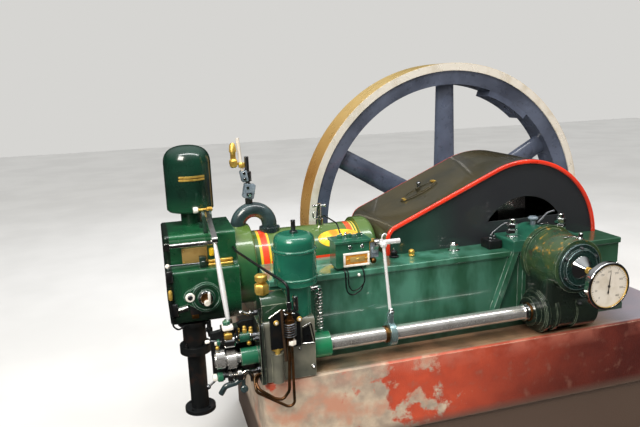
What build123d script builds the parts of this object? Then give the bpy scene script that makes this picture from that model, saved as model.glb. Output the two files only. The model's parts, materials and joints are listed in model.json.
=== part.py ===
from build123d import *
from math import asin, cos, degrees, pi, radians, sin, sqrt, tan
import os

os.makedirs("parts", exist_ok=True)

# A horizontal single-cylinder diesel engine on its concrete plinth.
# X runs along the engine with the crank at X = 0 and the cylinder head towards -X.
# -Y is the working side with the governor, +Y is the flywheel side, Z = 0 is the pit floor.

# Running fits and gaps
running_fit = 0.05
seat_gap = 0.2
free_gap = 6.0

# Flywheel
flywheel_radius = 800.0
flywheel_width = 174.0
flywheel_gap = 72.0
side_band = 38.0
rim_depth = 108.0
rim_recess = 6.0
rim_taper = 16.0
spoke_count = 6
spoke_long_rim = 50.0
spoke_short_rim = 27.0
spoke_long_hub = 62.0
spoke_short_hub = 34.0
hub_radius = 135.0
hub_width = 205.0
hub_round = 8.0
balance_pad_depth = 30.0
balance_pad_start = 48.0
balance_pad_span = 22.0

# Levels
pit_clearance = 22.0
plinth_height = 290.0
crank_above_plinth = 292.0
bed_top_above_crank = 23.0
pit_depth = flywheel_radius + pit_clearance - plinth_height - crank_above_plinth
plinth_top = pit_depth + plinth_height
crank_z = plinth_top + crank_above_plinth
bed_top = crank_z + bed_top_above_crank

# Bed
bed_left = -1170.0
bed_right = 392.0
bed_half_width = 340.0
flange_overhang = 12.0
flange_thickness = 24.0
foot_overhang = 45.0
foot_thickness = 30.0
casting_round = 5.0
well_half_width = 196.0
well_floor = 17.0
well_end_wall = 36.0
well_lip = 12.0
pedestal_half_width = 112.0
pedestal_depth = 32.0
rib_width = 26.0
rib_depth = 27.0
rib_top_x = 152.0
rib_foot_x = 268.0

# Widths across the engine, worked out from the bed
bearing_outer = bed_half_width + pedestal_depth
shaft_outboard = 78.0
side_shaft_y = -(bearing_outer + shaft_outboard)
flywheel_near = bearing_outer + flywheel_gap

# Foundation
plinth_verge = 55.0
plinth_wheel_gap = 32.0
plinth_left_verge = 65.0
plinth_right_verge = 248.0
plinth_chamfer = 10.0
plinth_corner_radius = 32.0
footing_setback = 14.0
plinth_left = bed_left - plinth_left_verge
plinth_right = bed_right + plinth_right_verge
plinth_near = side_shaft_y - plinth_verge
plinth_far = flywheel_near - plinth_wheel_gap

# Crankshaft
journal_radius = 45.0
crank_throw = 170.0
crank_pin_radius = 42.0
crank_pin_length = 110.0
web_thickness = 58.0
web_end_radius = 70.0
balance_radius = 250.0
shaft_overhang = 22.0

# Main bearing caps
crown_radius = 104.0
cap_half_width = 96.0
lug_reach = 158.0
lug_height = 46.0
lug_round = 8.0
cap_guard_gap = 5.0

# Crank guard, folded from sheet
guard_half_width = 208.0
guard_sheet = 4.0
guard_radius = 374.0
guard_left = -650.0
guard_slope = 23.2
guard_bend = 62.0
guard_opening_radius = 215.0
guard_opening_sill = 118.0
beading_radius = 9.0
bead_round = 7.0
lid_long = 96.0
lid_short = 40.0
lid_along = 402.0
lid_thickness = 5.0
lid_rim_edge = 4.0
lid_rim_long = 14.0
lid_rim_short = 12.0
lid_knob_radius = 11.0
lid_knob_height = 18.0

# Cylinder
barrel_radius = 132.0
barrel_flange_radius = 149.0
barrel_flange_length = 72.0
barrel_flange_round = 30.0
joint_flange_radius = 166.0
joint_flange_length = 75.0
joint_round = 9.0
barrel_bed_gap = 5.0
barrel_left = bed_left - barrel_bed_gap
joint_left = barrel_left - joint_flange_length

# Cylinder head, with the round cover and pear-shaped boss on its working side
head_length = 275.0
head_half = 176.0
head_corner = 46.0
head_end_round = 10.0
ledge_rise = 46.0
ledge_depth = 51.0
ledge_round = 14.0
boss_along = 139.0
boss_drop = 62.0
boss_radius = 56.0
boss_tail_radius = 28.0
boss_tail_along = 55.0
boss_tail_drop = 58.0
boss_depth = 16.0
boss_bead = 8.0
boss_bead_depth = 6.0
boss_cover_radius = 32.0
boss_cover_depth = 14.0
head_right = joint_left
head_left = head_right - head_length
head_top = crank_z + head_half
ledge_y = -head_half + ledge_depth
ledge_z = crank_z + ledge_rise

# Side shaft
side_shaft_radius = 28.0
cam_shaft_radius = 18.0
side_shaft_drop = 207.0
side_shaft_right = 58.0
cam_base_radius = 30.0
cam_lift = 8.0
cam_width = 30.0
inlet_cam_x = -1338.0
cam_pitch = 38.0
cam_end_length = 20.0
cam_sleeve_radius = 24.0
cam_sleeve_end = 22.0
inlet_lobe_angle = 200.0
exhaust_lobe_angle = 80.0
side_shaft_z = crank_z - side_shaft_drop
exhaust_cam_x = inlet_cam_x - cam_pitch
side_shaft_left = exhaust_cam_x - cam_end_length

# Timing case at the crank end: a drum on the crank line, a gear box on the side shaft
case_flange_radius = 124.0
case_flange_length = 22.0
drum_radius = 114.0
drum_end_radius = 101.0
drum_swell = 3.0
drum_ring_radius = 106.0
drum_ring_length = 14.0
drum_reach = 118.0
case_reach = 72.0
case_web = 96.0
case_web_round = 22.0
gearbox_radius = 80.0
gearbox_left = -112.0
gearbox_right = 132.0
gearbox_ring = 8.0
gearbox_ring_length = 14.0
gearbox_ring_inset = 8.0
gearbox_ring_pitch = 44.0
gearbox_rings = 2
gearbox_cover_length = 98.0
end_dome_radius = 60.0
end_dome_length = 20.0
neck_bush_radius = 58.0
neck_bush_length = 24.0
case_back = -bearing_outer
case_front = side_shaft_y - case_reach
drum_front = side_shaft_y - drum_reach

# End cover and cone
cover_radius = 92.0
cover_step = 9.0
cover_thickness = 9.0
cone_base_radius = 46.0
cone_tip_radius = 15.0
cone_length = 34.0
cone_nut_radius = 11.0
cone_nut_length = 16.0

# Tachometer on its stem
dial_x = 40.0
dial_drop = 47.0
dial_radius = 92.0
dial_depth = 40.0
dial_standoff = 82.0
dial_lip = 6.0
dial_recess = 5.0
bezel_depth = 24.0
stem_x = 66.0
stem_drop = 118.0
stem_radius = 16.0
stem_collar = 10.0
stem_collar_length = 12.0
dial_back = drum_front - dial_standoff

# Governor and pump case at the head end
gov_left = -1229.0
gov_right = -1046.0
gov_front_reach = 61.0
gov_back_reach = 60.0
gov_height = 222.0
gov_corner = 18.0
gov_flange_length = 16.0
gov_flange_lip = 10.0
hump_right = -1137.0
hump_radius = 50.0
hump_rise = 41.0
filter_x = -1184.0
filter_radius = 21.0
filter_height = 108.0
window_x = -1071.0
window_width = 40.0
window_top_width = 26.0
window_height = 76.0
window_drop = 135.0
window_depth = 6.0
window_lean = 12.0
bush_radius = 46.0
bush_length = 68.0
outboard_bush_radius = 31.0
outboard_bush_length = 60.0
gov_near = side_shaft_y - gov_front_reach
gov_far = side_shaft_y + gov_back_reach
gov_top_z = plinth_top + gov_height
flange_face = gov_left - gov_flange_length

# Governor cap: a stepped dome on a round neck
cap_x = -1093.0
cap_radius = 80.0
cap_height = 177.0
cap_ring = 4.0
cap_ring_width = 9.0
cap_ring_height = 18.0
cap_step_drop = 50.0
cap_step = 7.0
cap_tier_height = 22.0
cap_crown_radius = 40.0
cap_neck_radius = 52.0
cap_neck_height = 115.0
cap_base_z = gov_top_z + cap_neck_height
cap_top_z = cap_base_z + cap_height

# Water bend over the head joint, with its vent valve
bend_mid_x = -1154.0
bend_radius = 66.0
bend_tube = 31.0
bend_rise = 158.0
bend_collar = 12.0
bend_collar_height = 14.0
vent_offset = 14.0
vent_radius = 15.0
vent_height = 62.0
vent_collar_radius = 22.0
vent_collar_height = 12.0
vent_stem_radius = 9.0
vent_stem_height = 128.0
vent_grip_radius = 16.0
vent_grip_height = 38.0
vent_grip_lift = 28.0

# Air silencer
dome_x = -1398.0
dome_y = 112.0
dome_radius = 96.0
dome_neck_radius = 42.0
dome_neck_height = 50.0
dome_height = 271.0
dome_shoulder = 74.0
dome_lip = 8.0

# Exhaust
exhaust_x = -1437.0
exhaust_y = -100.0
exhaust_radius = 36.0
exhaust_bore = 30.0
exhaust_neck_wall = 10.0
exhaust_flange_radius = 62.0
exhaust_flange = 16.0
exhaust_joint_drop = 297.0
exhaust_floor_gap = 12.0
exhaust_bolt_circle = 48.0
exhaust_bolt_radius = 6.0
exhaust_bolts = 4
exhaust_joint_z = crank_z - exhaust_joint_drop
exhaust_foot_z = pit_depth + exhaust_floor_gap

# Mechanical lubricator on the bed flange
oiler_left = -905.0
oiler_right = -768.0
oiler_setback = 3.0
oiler_width = 87.0
oiler_height = 107.0
oiler_base = 12.0
oiler_base_inset = 12.0
oiler_round = 8.0
oiler_lid_lip = 5.0
oiler_lid = 9.0
filler_radius = 10.0
filler_height = 15.0
filler_pitch = 40.0
fillers = 3
oiler_near = -(bed_half_width - oiler_setback)
oiler_far = oiler_near + oiler_width
oiler_mid_y = (oiler_near + oiler_far) / 2
oiler_top = bed_top + oiler_height

# Ratchet lever, the rod that rocks it and its strap on the side shaft
lever_x = -744.0
lever_thickness = 18.0
lever_out = 12.0
lever_rise = 118.0
ratchet_rise = 84.0
ratchet_radius = 15.0
lever_root = 16.0
lever_tip = 10.0
lever_pin_radius = 7.0
lever_pin_length = 100.0
strap_x = -734.0
strap_radius = 45.0
strap_width = 24.0
strap_boss_radius = 13.0
strap_boss_height = 38.0
oiler_rod_radius = 6.0
oiler_rod_ball = 13.0
rod_head_along = 18.0
rod_head_out = 20.0
lever_y = -(bed_half_width + lever_out)
lever_z = crank_z + lever_rise

# Inlet push rod, its follower and the rocker over the head
roller_radius = 16.0
roller_width = 22.0
fork_width = 58.0
fork_plate = 5.0
fork_depth = 26.0
fork_height = 60.0
fork_top = 12.0
plunger_radius = 17.0
guide_radius = 13.0
guide_rise = 8.0
guide_y_shift = 10.0
pushrod_foot_in = 25.0
pushrod_foot_radius = 7.0
pushrod_mid_radius = 10.0
pushrod_head_radius = 6.0
pushrod_head_x = -1353.0
pushrod_head_out = 155.0
pushrod_head_rise = 10.0
pushrod_belly = 0.55
locknut_radius = 14.0
locknut_height = 20.0
rocker_rise = 58.0
rocker_pivot_y = -100.0
rocker_valve_y = -20.0
rocker_thickness = 20.0
rocker_boss_radius = 22.0
rocker_end_radius = 13.0
rocker_pin_radius = 10.0
rocker_cheek = 8.0
rocker_foot_width = 46.0
valve_guide_radius = 27.0
valve_guide_height = 18.0
valve_stem_radius = 8.0
valve_lash = 0.8

# Fuel pump on the front of the case, with its pipes
pump_x = -1141.0
pump_out = 26.0
pump_foot_drop = 149.0
pump_head_drop = 31.0
pump_radius = 16.0
pump_foot = 26.0
pump_neck = 26.0
pump_band_radius = 19.0
pump_band_low = 50.0
pump_band_height = 16.0
pump_core_radius = 10.0
pump_bracket_half = 13.0
pump_bracket_low = 40.0
pump_bracket_high = 50.0
pipe_radius = 5.0
delivery_rise = 99.0
delivery_back = 87.0
delivery_step = 59.0
delivery_climb = 32.0
injector_along = 12.0
injector_rise = 108.0
injector_out = 61.0
delivery_bend = 32.0
feed_drop = 105.0
feed_out = 22.0
feed_rise = 24.0
feed_shift = 4.0
feed_inset = 20.0
feed_end_inset = 30.0
feed_bend = 20.0

# Governor spring
spring_out = 44.0
spring_in = 38.0
spring_low_drop = 160.0
spring_radius = 13.0
spring_pin_radius = 8.0
arm_drop = 1.0

# Small fittings
cup_base_radius = 14.0
cup_base_height = 8.0
cup_radius = 8.0
cup_height = 38.0
check_x = -868.0
check_base_radius = 15.0
check_base_height = 26.0
check_radius = 9.0
check_height = 66.0
stud_out = 25.0
stud_rise = 142.0
stud_radius = 10.0
stud_length = 160.0
stud_inset = 20.0
stud_nut = 24.0
stud_nut_half = 14.0
stud_post_radius = 9.0
stud_post_along = 62.0
stud_post_pitch = 100.0


def round_x(radius, x_start, x_end, y, z, mode=Mode.ADD):
    """A round bar or bore along X."""
    with Locations(((x_start + x_end) / 2, y, z)):
        Cylinder(radius, abs(x_end - x_start), rotation=(0, 90, 0), mode=mode)


def round_y(radius, y_start, y_end, x, z, mode=Mode.ADD):
    """A round bar or bore along Y."""
    with Locations((x, (y_start + y_end) / 2, z)):
        Cylinder(radius, abs(y_end - y_start), rotation=(90, 0, 0), mode=mode)


def round_z(radius, z_start, z_end, x, y, mode=Mode.ADD):
    """A round bar or bore along Z."""
    with Locations((x, y, (z_start + z_end) / 2)):
        Cylinder(radius, abs(z_end - z_start), mode=mode)


def block(x_start, x_end, y_start, y_end, z_start, z_end, mode=Mode.ADD):
    """A square-edged block between two corners."""
    with Locations(((x_start + x_end) / 2, (y_start + y_end) / 2, (z_start + z_end) / 2)):
        Box(abs(x_end - x_start), abs(y_end - y_start), abs(z_end - z_start), mode=mode)


def save(builder, name):
    """Label a finished piece and write it."""
    builder.part.label = name
    export_step(builder.part, "parts/" + name + ".step")


# Concrete foundation: a painted plinth above floor level, rough and set back below it
block_mid = ((plinth_left + plinth_right) / 2, (plinth_near + plinth_far) / 2)
block_length = plinth_right - plinth_left
block_width = plinth_far - plinth_near
with BuildPart() as foundation_block:
    with BuildSketch(Plane.XY) as footing_plan:
        with Locations(block_mid):
            RectangleRounded(block_length - 2 * footing_setback, block_width - 2 * footing_setback,
                             plinth_corner_radius)
    extrude(amount=pit_depth)
    with BuildSketch(Plane.XY.offset(pit_depth)) as plinth_plan:
        with Locations(block_mid):
            RectangleRounded(block_length, block_width, plinth_corner_radius)
    extrude(amount=plinth_height)
    chamfer(foundation_block.faces().sort_by(Axis.Z)[-1].edges(), plinth_chamfer)
save(foundation_block, "foundation_block")

# Bed casting: one rounded section with a foot flange and a top flange, ribs and pedestals
wall_bottom = plinth_top + foot_thickness
wall_top = bed_top - flange_thickness
well_left = guard_left + well_lip
well_right = bed_right - well_end_wall
with BuildPart() as bed:
    with BuildSketch(Plane.YZ.offset(bed_left)) as bed_section:
        with Locations((0, (plinth_top + bed_top) / 2)):
            Rectangle(2 * bed_half_width, bed_top - plinth_top)
        with Locations((0, (wall_top + bed_top) / 2)):
            Rectangle(2 * (bed_half_width + flange_overhang), flange_thickness)
        with Locations((0, (plinth_top + wall_bottom) / 2)):
            Rectangle(2 * (bed_half_width + foot_overhang), foot_thickness)
        fillet(bed_section.vertices().group_by(Axis.Y)[1:], casting_round)
    extrude(amount=bed_right - bed_left)
    for side in (-1, 1):
        block(-pedestal_half_width, pedestal_half_width, side * bed_half_width,
              side * bearing_outer, plinth_top, bed_top)
        for end in (-1, 1):
            with BuildSketch(Plane.XZ.offset(-side * bed_half_width)):
                with BuildLine():
                    Polyline((end * rib_top_x, bed_top), (end * (rib_top_x - rib_width), bed_top),
                             (end * (rib_foot_x - rib_width), plinth_top),
                             (end * rib_foot_x, plinth_top), close=True)
                make_face()
            extrude(amount=-side * rib_depth)
    block(well_left, well_right, -well_half_width, well_half_width, plinth_top + well_floor, bed_top,
          mode=Mode.SUBTRACT)
    round_x(barrel_radius + seat_gap, bed_left, guard_left, 0, crank_z, mode=Mode.SUBTRACT)
    round_x(barrel_flange_radius + seat_gap, guard_left - barrel_flange_length - seat_gap, guard_left,
            0, crank_z, mode=Mode.SUBTRACT)
    round_y(journal_radius + running_fit, -bearing_outer, bearing_outer, 0, crank_z,
            mode=Mode.SUBTRACT)
    for side in (-1, 1):
        block(-cap_half_width, cap_half_width, side * well_half_width, side * bearing_outer,
              crank_z, bed_top, mode=Mode.SUBTRACT)
save(bed, "bed")

# Main bearing caps with a raised crown, a register in the bed and rounded stud lugs
cap_inner = guard_half_width + beading_radius + cap_guard_gap
for side, cap_name in ((-1, "near_bearing_cap"), (1, "far_bearing_cap")):
    with BuildPart() as bearing_cap:
        with BuildSketch(Plane.XZ.offset(bearing_outer)) as cap_profile:
            with Locations((0, bed_top + lug_height / 2)):
                RectangleRounded(2 * lug_reach, lug_height, lug_round)
            with Locations((0, bed_top + lug_height / 4)):
                Rectangle(2 * lug_reach, lug_height / 2)
            with Locations((0, crank_z)):
                Circle(crown_radius)
            with Locations((0, crank_z + (bed_top_above_crank + lug_height) / 2)):
                Rectangle(2 * cap_half_width, bed_top_above_crank + lug_height)
            with Locations((0, crank_z)):
                Circle(journal_radius + running_fit, mode=Mode.SUBTRACT)
            with Locations((0, crank_z - crown_radius / 2)):
                Rectangle(2 * crown_radius, crown_radius, mode=Mode.SUBTRACT)
            for end in (-1, 1):
                with Locations((end * (cap_half_width + crown_radius / 2),
                                crank_z + bed_top_above_crank / 2)):
                    Rectangle(crown_radius, bed_top_above_crank, mode=Mode.SUBTRACT)
        extrude(amount=-(bearing_outer - cap_inner))
        if side > 0:
            mirror(about=Plane.XZ, mode=Mode.REPLACE)
    save(bearing_cap, cap_name)

# Crankshaft: two webs with sector balance weights, the pin straight up at rest
web_inner = crank_pin_length / 2
shaft_far_end = flywheel_near + flywheel_width + shaft_overhang
shaft_near_end = drum_front + free_gap
with BuildPart() as crankshaft:
    round_y(journal_radius, -web_inner, shaft_near_end, 0, crank_z)
    round_y(journal_radius, web_inner, shaft_far_end, 0, crank_z)
    round_y(crank_pin_radius, -web_inner, web_inner, 0, crank_z + crank_throw)
    for side in (-1, 1):
        with BuildSketch(Plane.XZ.offset(-side * web_inner)):
            with Locations((0, crank_z)):
                Circle(balance_radius)
            with Locations((0, crank_z + (balance_radius + web_end_radius) / 2)):
                Rectangle(2 * balance_radius, balance_radius + web_end_radius, mode=Mode.SUBTRACT)
            with Locations((0, crank_z), (0, crank_z + crank_throw)):
                Circle(web_end_radius)
            with Locations((0, crank_z + crank_throw / 2)):
                Rectangle(2 * web_end_radius, crank_throw)
        extrude(amount=-side * web_thickness)
save(crankshaft, "crankshaft")

# Flywheel: turned rim with a bright band each side, oval spokes swelling to the hub
flywheel_far = flywheel_near + flywheel_width
flywheel_mid = flywheel_near + flywheel_width / 2
rim_inner = flywheel_radius - rim_depth
rim_top = crank_z + flywheel_radius
rim_step = rim_top - side_band
rim_root = crank_z + rim_inner
web_near = flywheel_near + rim_recess
web_far = flywheel_far - rim_recess
spoke_start = 0.8 * hub_radius
spoke_end = rim_inner + rim_taper
with BuildPart() as flywheel:
    with BuildSketch(Plane.YZ) as rim_section:
        with BuildLine():
            Polyline((flywheel_near, rim_top), (flywheel_far, rim_top), (flywheel_far, rim_step),
                     (web_far, rim_step), (web_far - rim_taper, rim_root),
                     (web_near + rim_taper, rim_root), (web_near, rim_step),
                     (flywheel_near, rim_step), close=True)
        make_face()
    revolve(axis=Axis((0, 0, crank_z), (0, 1, 0)))
    with BuildSketch(Plane.XZ.offset(-web_far + rim_taper)) as balance_pad:
        with BuildLine():
            pad_root = CenterArc((0, crank_z), spoke_end, balance_pad_start, balance_pad_span)
            pad_face = CenterArc((0, crank_z), rim_inner - balance_pad_depth, balance_pad_start,
                                 balance_pad_span)
            Line(pad_root @ 0, pad_face @ 0)
            Line(pad_root @ 1, pad_face @ 1)
        make_face()
    extrude(amount=flywheel_width - 2 * (rim_recess + rim_taper))
    with BuildSketch(Plane.YZ) as hub_section:
        with Locations((flywheel_mid, crank_z + hub_radius / 2)):
            Rectangle(hub_width, hub_radius)
        fillet(hub_section.vertices().group_by(Axis.Y)[-1], hub_round)
    revolve(axis=Axis((0, 0, crank_z), (0, 1, 0)))
    for k in range(spoke_count):
        angle = radians(90 + k * 360 / spoke_count)
        spoke_root = Plane(origin=(cos(angle) * spoke_start, flywheel_mid,
                                   crank_z + sin(angle) * spoke_start),
                           x_dir=(0, 1, 0), z_dir=(cos(angle), 0, sin(angle)))
        with BuildSketch(spoke_root):
            Ellipse(spoke_short_hub, spoke_long_hub)
        with BuildSketch(spoke_root.offset(spoke_end - spoke_start)):
            Ellipse(spoke_short_rim, spoke_long_rim)
        loft()
    round_y(journal_radius, flywheel_mid - hub_width, flywheel_mid + hub_width, 0, crank_z,
            mode=Mode.SUBTRACT)
save(flywheel, "flywheel")

# Crank guard: two flat side plates and one wrapper that follows their outline
slope = radians(guard_slope)


def guard_outline(inset):
    """The guard's side view, moved in by inset, from its left foot round to its right foot."""
    radius = guard_radius - inset
    left = guard_left + inset
    bend = guard_bend - inset
    touch = (-radius * sin(slope), crank_z + radius * cos(slope))
    corner_z = touch[1] - (touch[0] - left) * tan(slope)
    cut = bend * tan((pi / 2 - slope) / 2)
    bend_start = (left, corner_z - cut)
    bend_end = (left + cut * cos(slope), corner_z + cut * sin(slope))
    foot_angle = asin(bed_top_above_crank / radius)
    right_foot = (radius * cos(foot_angle), bed_top)
    Line((left, bed_top), bend_start)
    TangentArc(bend_start, bend_end, tangent=(0, 1))
    Line(bend_end, touch)
    CenterArc((0, crank_z), radius, degrees(foot_angle), 90 + guard_slope - degrees(foot_angle))
    return (left, bed_top), right_foot


with BuildPart() as guard_wrapper:
    with BuildSketch(Plane.XZ.offset(guard_half_width)) as wrapper_profile:
        with BuildLine() as outer_line:
            feet = guard_outline(0)
            Line(feet[1], feet[0])
        make_face()
        with BuildLine() as inner_line:
            feet = guard_outline(guard_sheet)
            Line(feet[1], feet[0])
        make_face(mode=Mode.SUBTRACT)
    extrude(amount=-2 * guard_half_width)
save(guard_wrapper, "guard_wrapper")

plate_face = guard_half_width - seat_gap
sill_reach = sqrt(guard_opening_radius ** 2 - guard_opening_sill ** 2)
sill_z = crank_z + guard_opening_sill
for side, plate_name in ((-1, "guard_near_plate"), (1, "guard_far_plate")):
    with BuildPart() as guard_plate:
        with BuildSketch(Plane.XZ.offset(plate_face)) as plate_outline:
            with BuildLine() as plate_line:
                feet = guard_outline(guard_sheet + seat_gap)
                Line(feet[1], feet[0])
            make_face()
            with Locations((0, crank_z)):
                Circle(journal_radius + free_gap, mode=Mode.SUBTRACT)
            with BuildLine() as sill_line:
                Line((-sill_reach, sill_z), (sill_reach, sill_z))
                ThreePointArc((sill_reach, sill_z), (0, crank_z + guard_opening_radius),
                              (-sill_reach, sill_z))
            make_face(mode=Mode.SUBTRACT)
        extrude(amount=-guard_sheet)
        if side > 0:
            mirror(about=Plane.XZ, mode=Mode.REPLACE)
    save(guard_plate, plate_name)

# Half-round beading riveted along both edges of the guard
bead_face = guard_half_width + seat_gap
with BuildPart() as guard_beading:
    with BuildSketch(Plane.XZ.offset(bead_face), Plane.XZ.offset(-bead_face - beading_radius)):
        with BuildLine():
            feet = guard_outline(0)
            Line(feet[1], feet[0])
        make_face()
        with BuildLine():
            feet = guard_outline(2 * beading_radius)
            Line(feet[1], feet[0])
        make_face(mode=Mode.SUBTRACT)
    extrude(amount=beading_radius)
    bead_faces = guard_beading.faces().sort_by(Axis.Y)
    for bead_side in (bead_faces[0], bead_faces[-1]):
        fillet(bead_side.edges().filter_by_position(Axis.Z, bed_top + 1, 2 * crank_z), bead_round)
save(guard_beading, "guard_beading")

# Oval inspection lid with a raised rim and a knob on the sloping face
lid_foot = Plane(origin=(-lid_along, 0, crank_z + guard_radius / cos(slope) - lid_along * tan(slope)),
                 x_dir=(cos(slope), 0, sin(slope)), z_dir=(-sin(slope), 0, cos(slope)))
with BuildPart() as guard_lid:
    with BuildSketch(lid_foot):
        Ellipse(lid_long, lid_short)
    extrude(amount=lid_thickness)
    with BuildSketch(lid_foot.offset(lid_thickness)):
        Ellipse(lid_long - lid_rim_edge, lid_short - lid_rim_edge)
        Ellipse(lid_long - lid_rim_long, lid_short - lid_rim_short, mode=Mode.SUBTRACT)
    extrude(amount=lid_thickness)
    with BuildSketch(lid_foot.offset(lid_thickness)):
        Circle(lid_knob_radius)
    extrude(amount=lid_knob_height)
save(guard_lid, "guard_lid")

# Cylinder: water-jacket barrel, rounded crank-end flange, rounded head-joint flange
flange_left = guard_left - barrel_flange_length
flange_top = crank_z + barrel_flange_radius
wall_z = crank_z + barrel_radius
joint_top = crank_z + joint_flange_radius
with BuildPart() as cylinder_jacket:
    with BuildSketch(Plane.XZ) as barrel_half:
        with BuildLine() as barrel_line:
            l1 = Line((joint_left, crank_z), (joint_left, joint_top))
            l2 = Line(l1 @ 1, (barrel_left - joint_round, joint_top))
            l3 = TangentArc(l2 @ 1, (barrel_left, joint_top - joint_round), tangent=(1, 0))
            l4 = Line(l3 @ 1, (barrel_left, wall_z))
            l5 = Line(l4 @ 1, (flange_left, wall_z))
            l6 = Line(l5 @ 1, (flange_left, flange_top))
            l7 = Line(l6 @ 1, (guard_left - barrel_flange_round, flange_top))
            l8 = TangentArc(l7 @ 1, (guard_left, flange_top - barrel_flange_round), tangent=(1, 0))
            l9 = Line(l8 @ 1, (guard_left, crank_z))
            Line(l9 @ 1, l1 @ 0)
        make_face()
    revolve(axis=Axis((0, 0, crank_z), (1, 0, 0)))
save(cylinder_jacket, "cylinder_jacket")

# Cylinder head: square casting set back above a ledge, with a pear-shaped boss on the working side
boss_x = head_left + boss_along
boss_z = crank_z - boss_drop
with BuildPart() as cylinder_head:
    with BuildSketch(Plane.YZ.offset(head_left)) as head_outline:
        with Locations((0, crank_z)):
            RectangleRounded(2 * head_half, 2 * head_half, head_corner)
        with Locations((-head_half, (ledge_z + head_top) / 2)):
            Rectangle(2 * ledge_depth, head_top - ledge_z, mode=Mode.SUBTRACT)
        recess = head_outline.vertices().filter_by_position(Axis.Y, ledge_z - 1, head_top + 1)
        fillet(recess.filter_by_position(Axis.X, -head_half, ledge_y + 1), ledge_round)
    extrude(amount=head_length)
    fillet(cylinder_head.faces().sort_by(Axis.X)[0].edges(), head_end_round)
    with BuildSketch(Plane.XZ.offset(head_half)) as boss_outline:
        with Locations((boss_x, boss_z)):
            Circle(boss_radius)
        with Locations((boss_x - boss_tail_along, crank_z - boss_tail_drop)):
            Circle(boss_tail_radius)
        make_hull()
    extrude(amount=boss_depth)
    with BuildSketch(Plane.XZ.offset(head_half + boss_depth)) as boss_ring:
        with Locations((boss_x, boss_z)):
            Circle(boss_radius)
            Circle(boss_radius - boss_bead, mode=Mode.SUBTRACT)
            Circle(boss_cover_radius)
    extrude(amount=boss_bead_depth)
    round_y(boss_cover_radius - boss_bead, -head_half - boss_depth,
            -head_half - boss_depth - boss_cover_depth, boss_x, boss_z)
save(cylinder_head, "cylinder_head")

# Side shaft: polished shaft, stepped down for the two cams outboard of the pump case
step_x = (gov_left + gov_right) / 2
with BuildPart() as side_shaft:
    round_x(side_shaft_radius, step_x + free_gap, side_shaft_right, side_shaft_y, side_shaft_z)
    round_x(cam_shaft_radius, side_shaft_left, step_x + free_gap, side_shaft_y, side_shaft_z)
    for cam_centre, lobe_angle in ((inlet_cam_x, inlet_lobe_angle), (exhaust_cam_x, exhaust_lobe_angle)):
        lobe_turn = radians(lobe_angle)
        with BuildSketch(Plane.YZ.offset(cam_centre - cam_width / 2)):
            with Locations((side_shaft_y, side_shaft_z)):
                Circle(cam_base_radius)
            with Locations((side_shaft_y + cam_lift * cos(lobe_turn),
                            side_shaft_z + cam_lift * sin(lobe_turn))):
                Circle(cam_base_radius)
        extrude(amount=cam_width)
    round_x(cam_sleeve_radius, side_shaft_left, inlet_cam_x + cam_sleeve_end, side_shaft_y, side_shaft_z)
save(side_shaft, "side_shaft")

# Timing case: swelling drum with an end ring, spiral-gear box with rings and a domed end
ring_start = drum_front + drum_ring_length
drum_start = case_back - case_flange_length
drum_middle = ((drum_start + ring_start) / 2, crank_z + (drum_radius + drum_end_radius) / 2 + drum_swell)
with BuildPart() as timing_case:
    with BuildSketch(Plane.YZ) as drum_half:
        with BuildLine() as drum_line:
            t1 = Line((case_back, crank_z), (case_back, crank_z + case_flange_radius))
            t2 = Line(t1 @ 1, (drum_start, crank_z + case_flange_radius))
            t3 = Line(t2 @ 1, (drum_start, crank_z + drum_radius))
            t4 = ThreePointArc(t3 @ 1, drum_middle, (ring_start, crank_z + drum_end_radius))
            t5 = Line(t4 @ 1, (ring_start, crank_z + drum_ring_radius))
            t6 = Line(t5 @ 1, (drum_front, crank_z + drum_ring_radius))
            t7 = Line(t6 @ 1, (drum_front, crank_z))
            Line(t7 @ 1, t1 @ 0)
        make_face()
    revolve(axis=Axis((0, 0, crank_z), (0, 1, 0)))
    with BuildSketch(Plane.XY.offset(side_shaft_z)) as web_plan:
        with Locations((0, (case_back + case_front) / 2)):
            Rectangle(2 * case_web, case_back - case_front)
        fillet(web_plan.vertices().group_by(Axis.Y)[0], case_web_round)
    extrude(amount=side_shaft_drop)
    round_x(gearbox_radius, gearbox_left, gearbox_right, side_shaft_y, side_shaft_z)
    for k in range(gearbox_rings):
        ring_left = gearbox_left + gearbox_ring_inset + k * gearbox_ring_pitch
        round_x(gearbox_radius + gearbox_ring, ring_left, ring_left + gearbox_ring_length,
                side_shaft_y, side_shaft_z)
    round_x(gearbox_radius + gearbox_ring, gearbox_right - gearbox_cover_length, gearbox_right,
            side_shaft_y, side_shaft_z)
    with BuildSketch(Plane.YZ.offset(gearbox_right)):
        with Locations((side_shaft_y, side_shaft_z)):
            Circle(gearbox_radius)
    with BuildSketch(Plane.YZ.offset(gearbox_right + end_dome_length)):
        with Locations((side_shaft_y, side_shaft_z)):
            Circle(end_dome_radius)
    loft()
    round_x(neck_bush_radius, gearbox_left - neck_bush_length, gearbox_left, side_shaft_y, side_shaft_z)
    case_ends = (gearbox_left - neck_bush_length, gearbox_right + end_dome_length)
    block(*case_ends, 2 * case_front, 0, 0, plinth_top, mode=Mode.SUBTRACT)
    block(*case_ends, case_back, 0, plinth_top, 2 * crank_z, mode=Mode.SUBTRACT)
    block(*case_ends, -bed_half_width - foot_overhang - seat_gap, 0, plinth_top,
          wall_bottom + seat_gap, mode=Mode.SUBTRACT)
    round_y(journal_radius + free_gap, case_back, shaft_near_end - free_gap, 0, crank_z,
            mode=Mode.SUBTRACT)
    round_x(side_shaft_radius + running_fit, case_ends[0], side_shaft_right + free_gap,
            side_shaft_y, side_shaft_z, mode=Mode.SUBTRACT)
save(timing_case, "timing_case")

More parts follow.
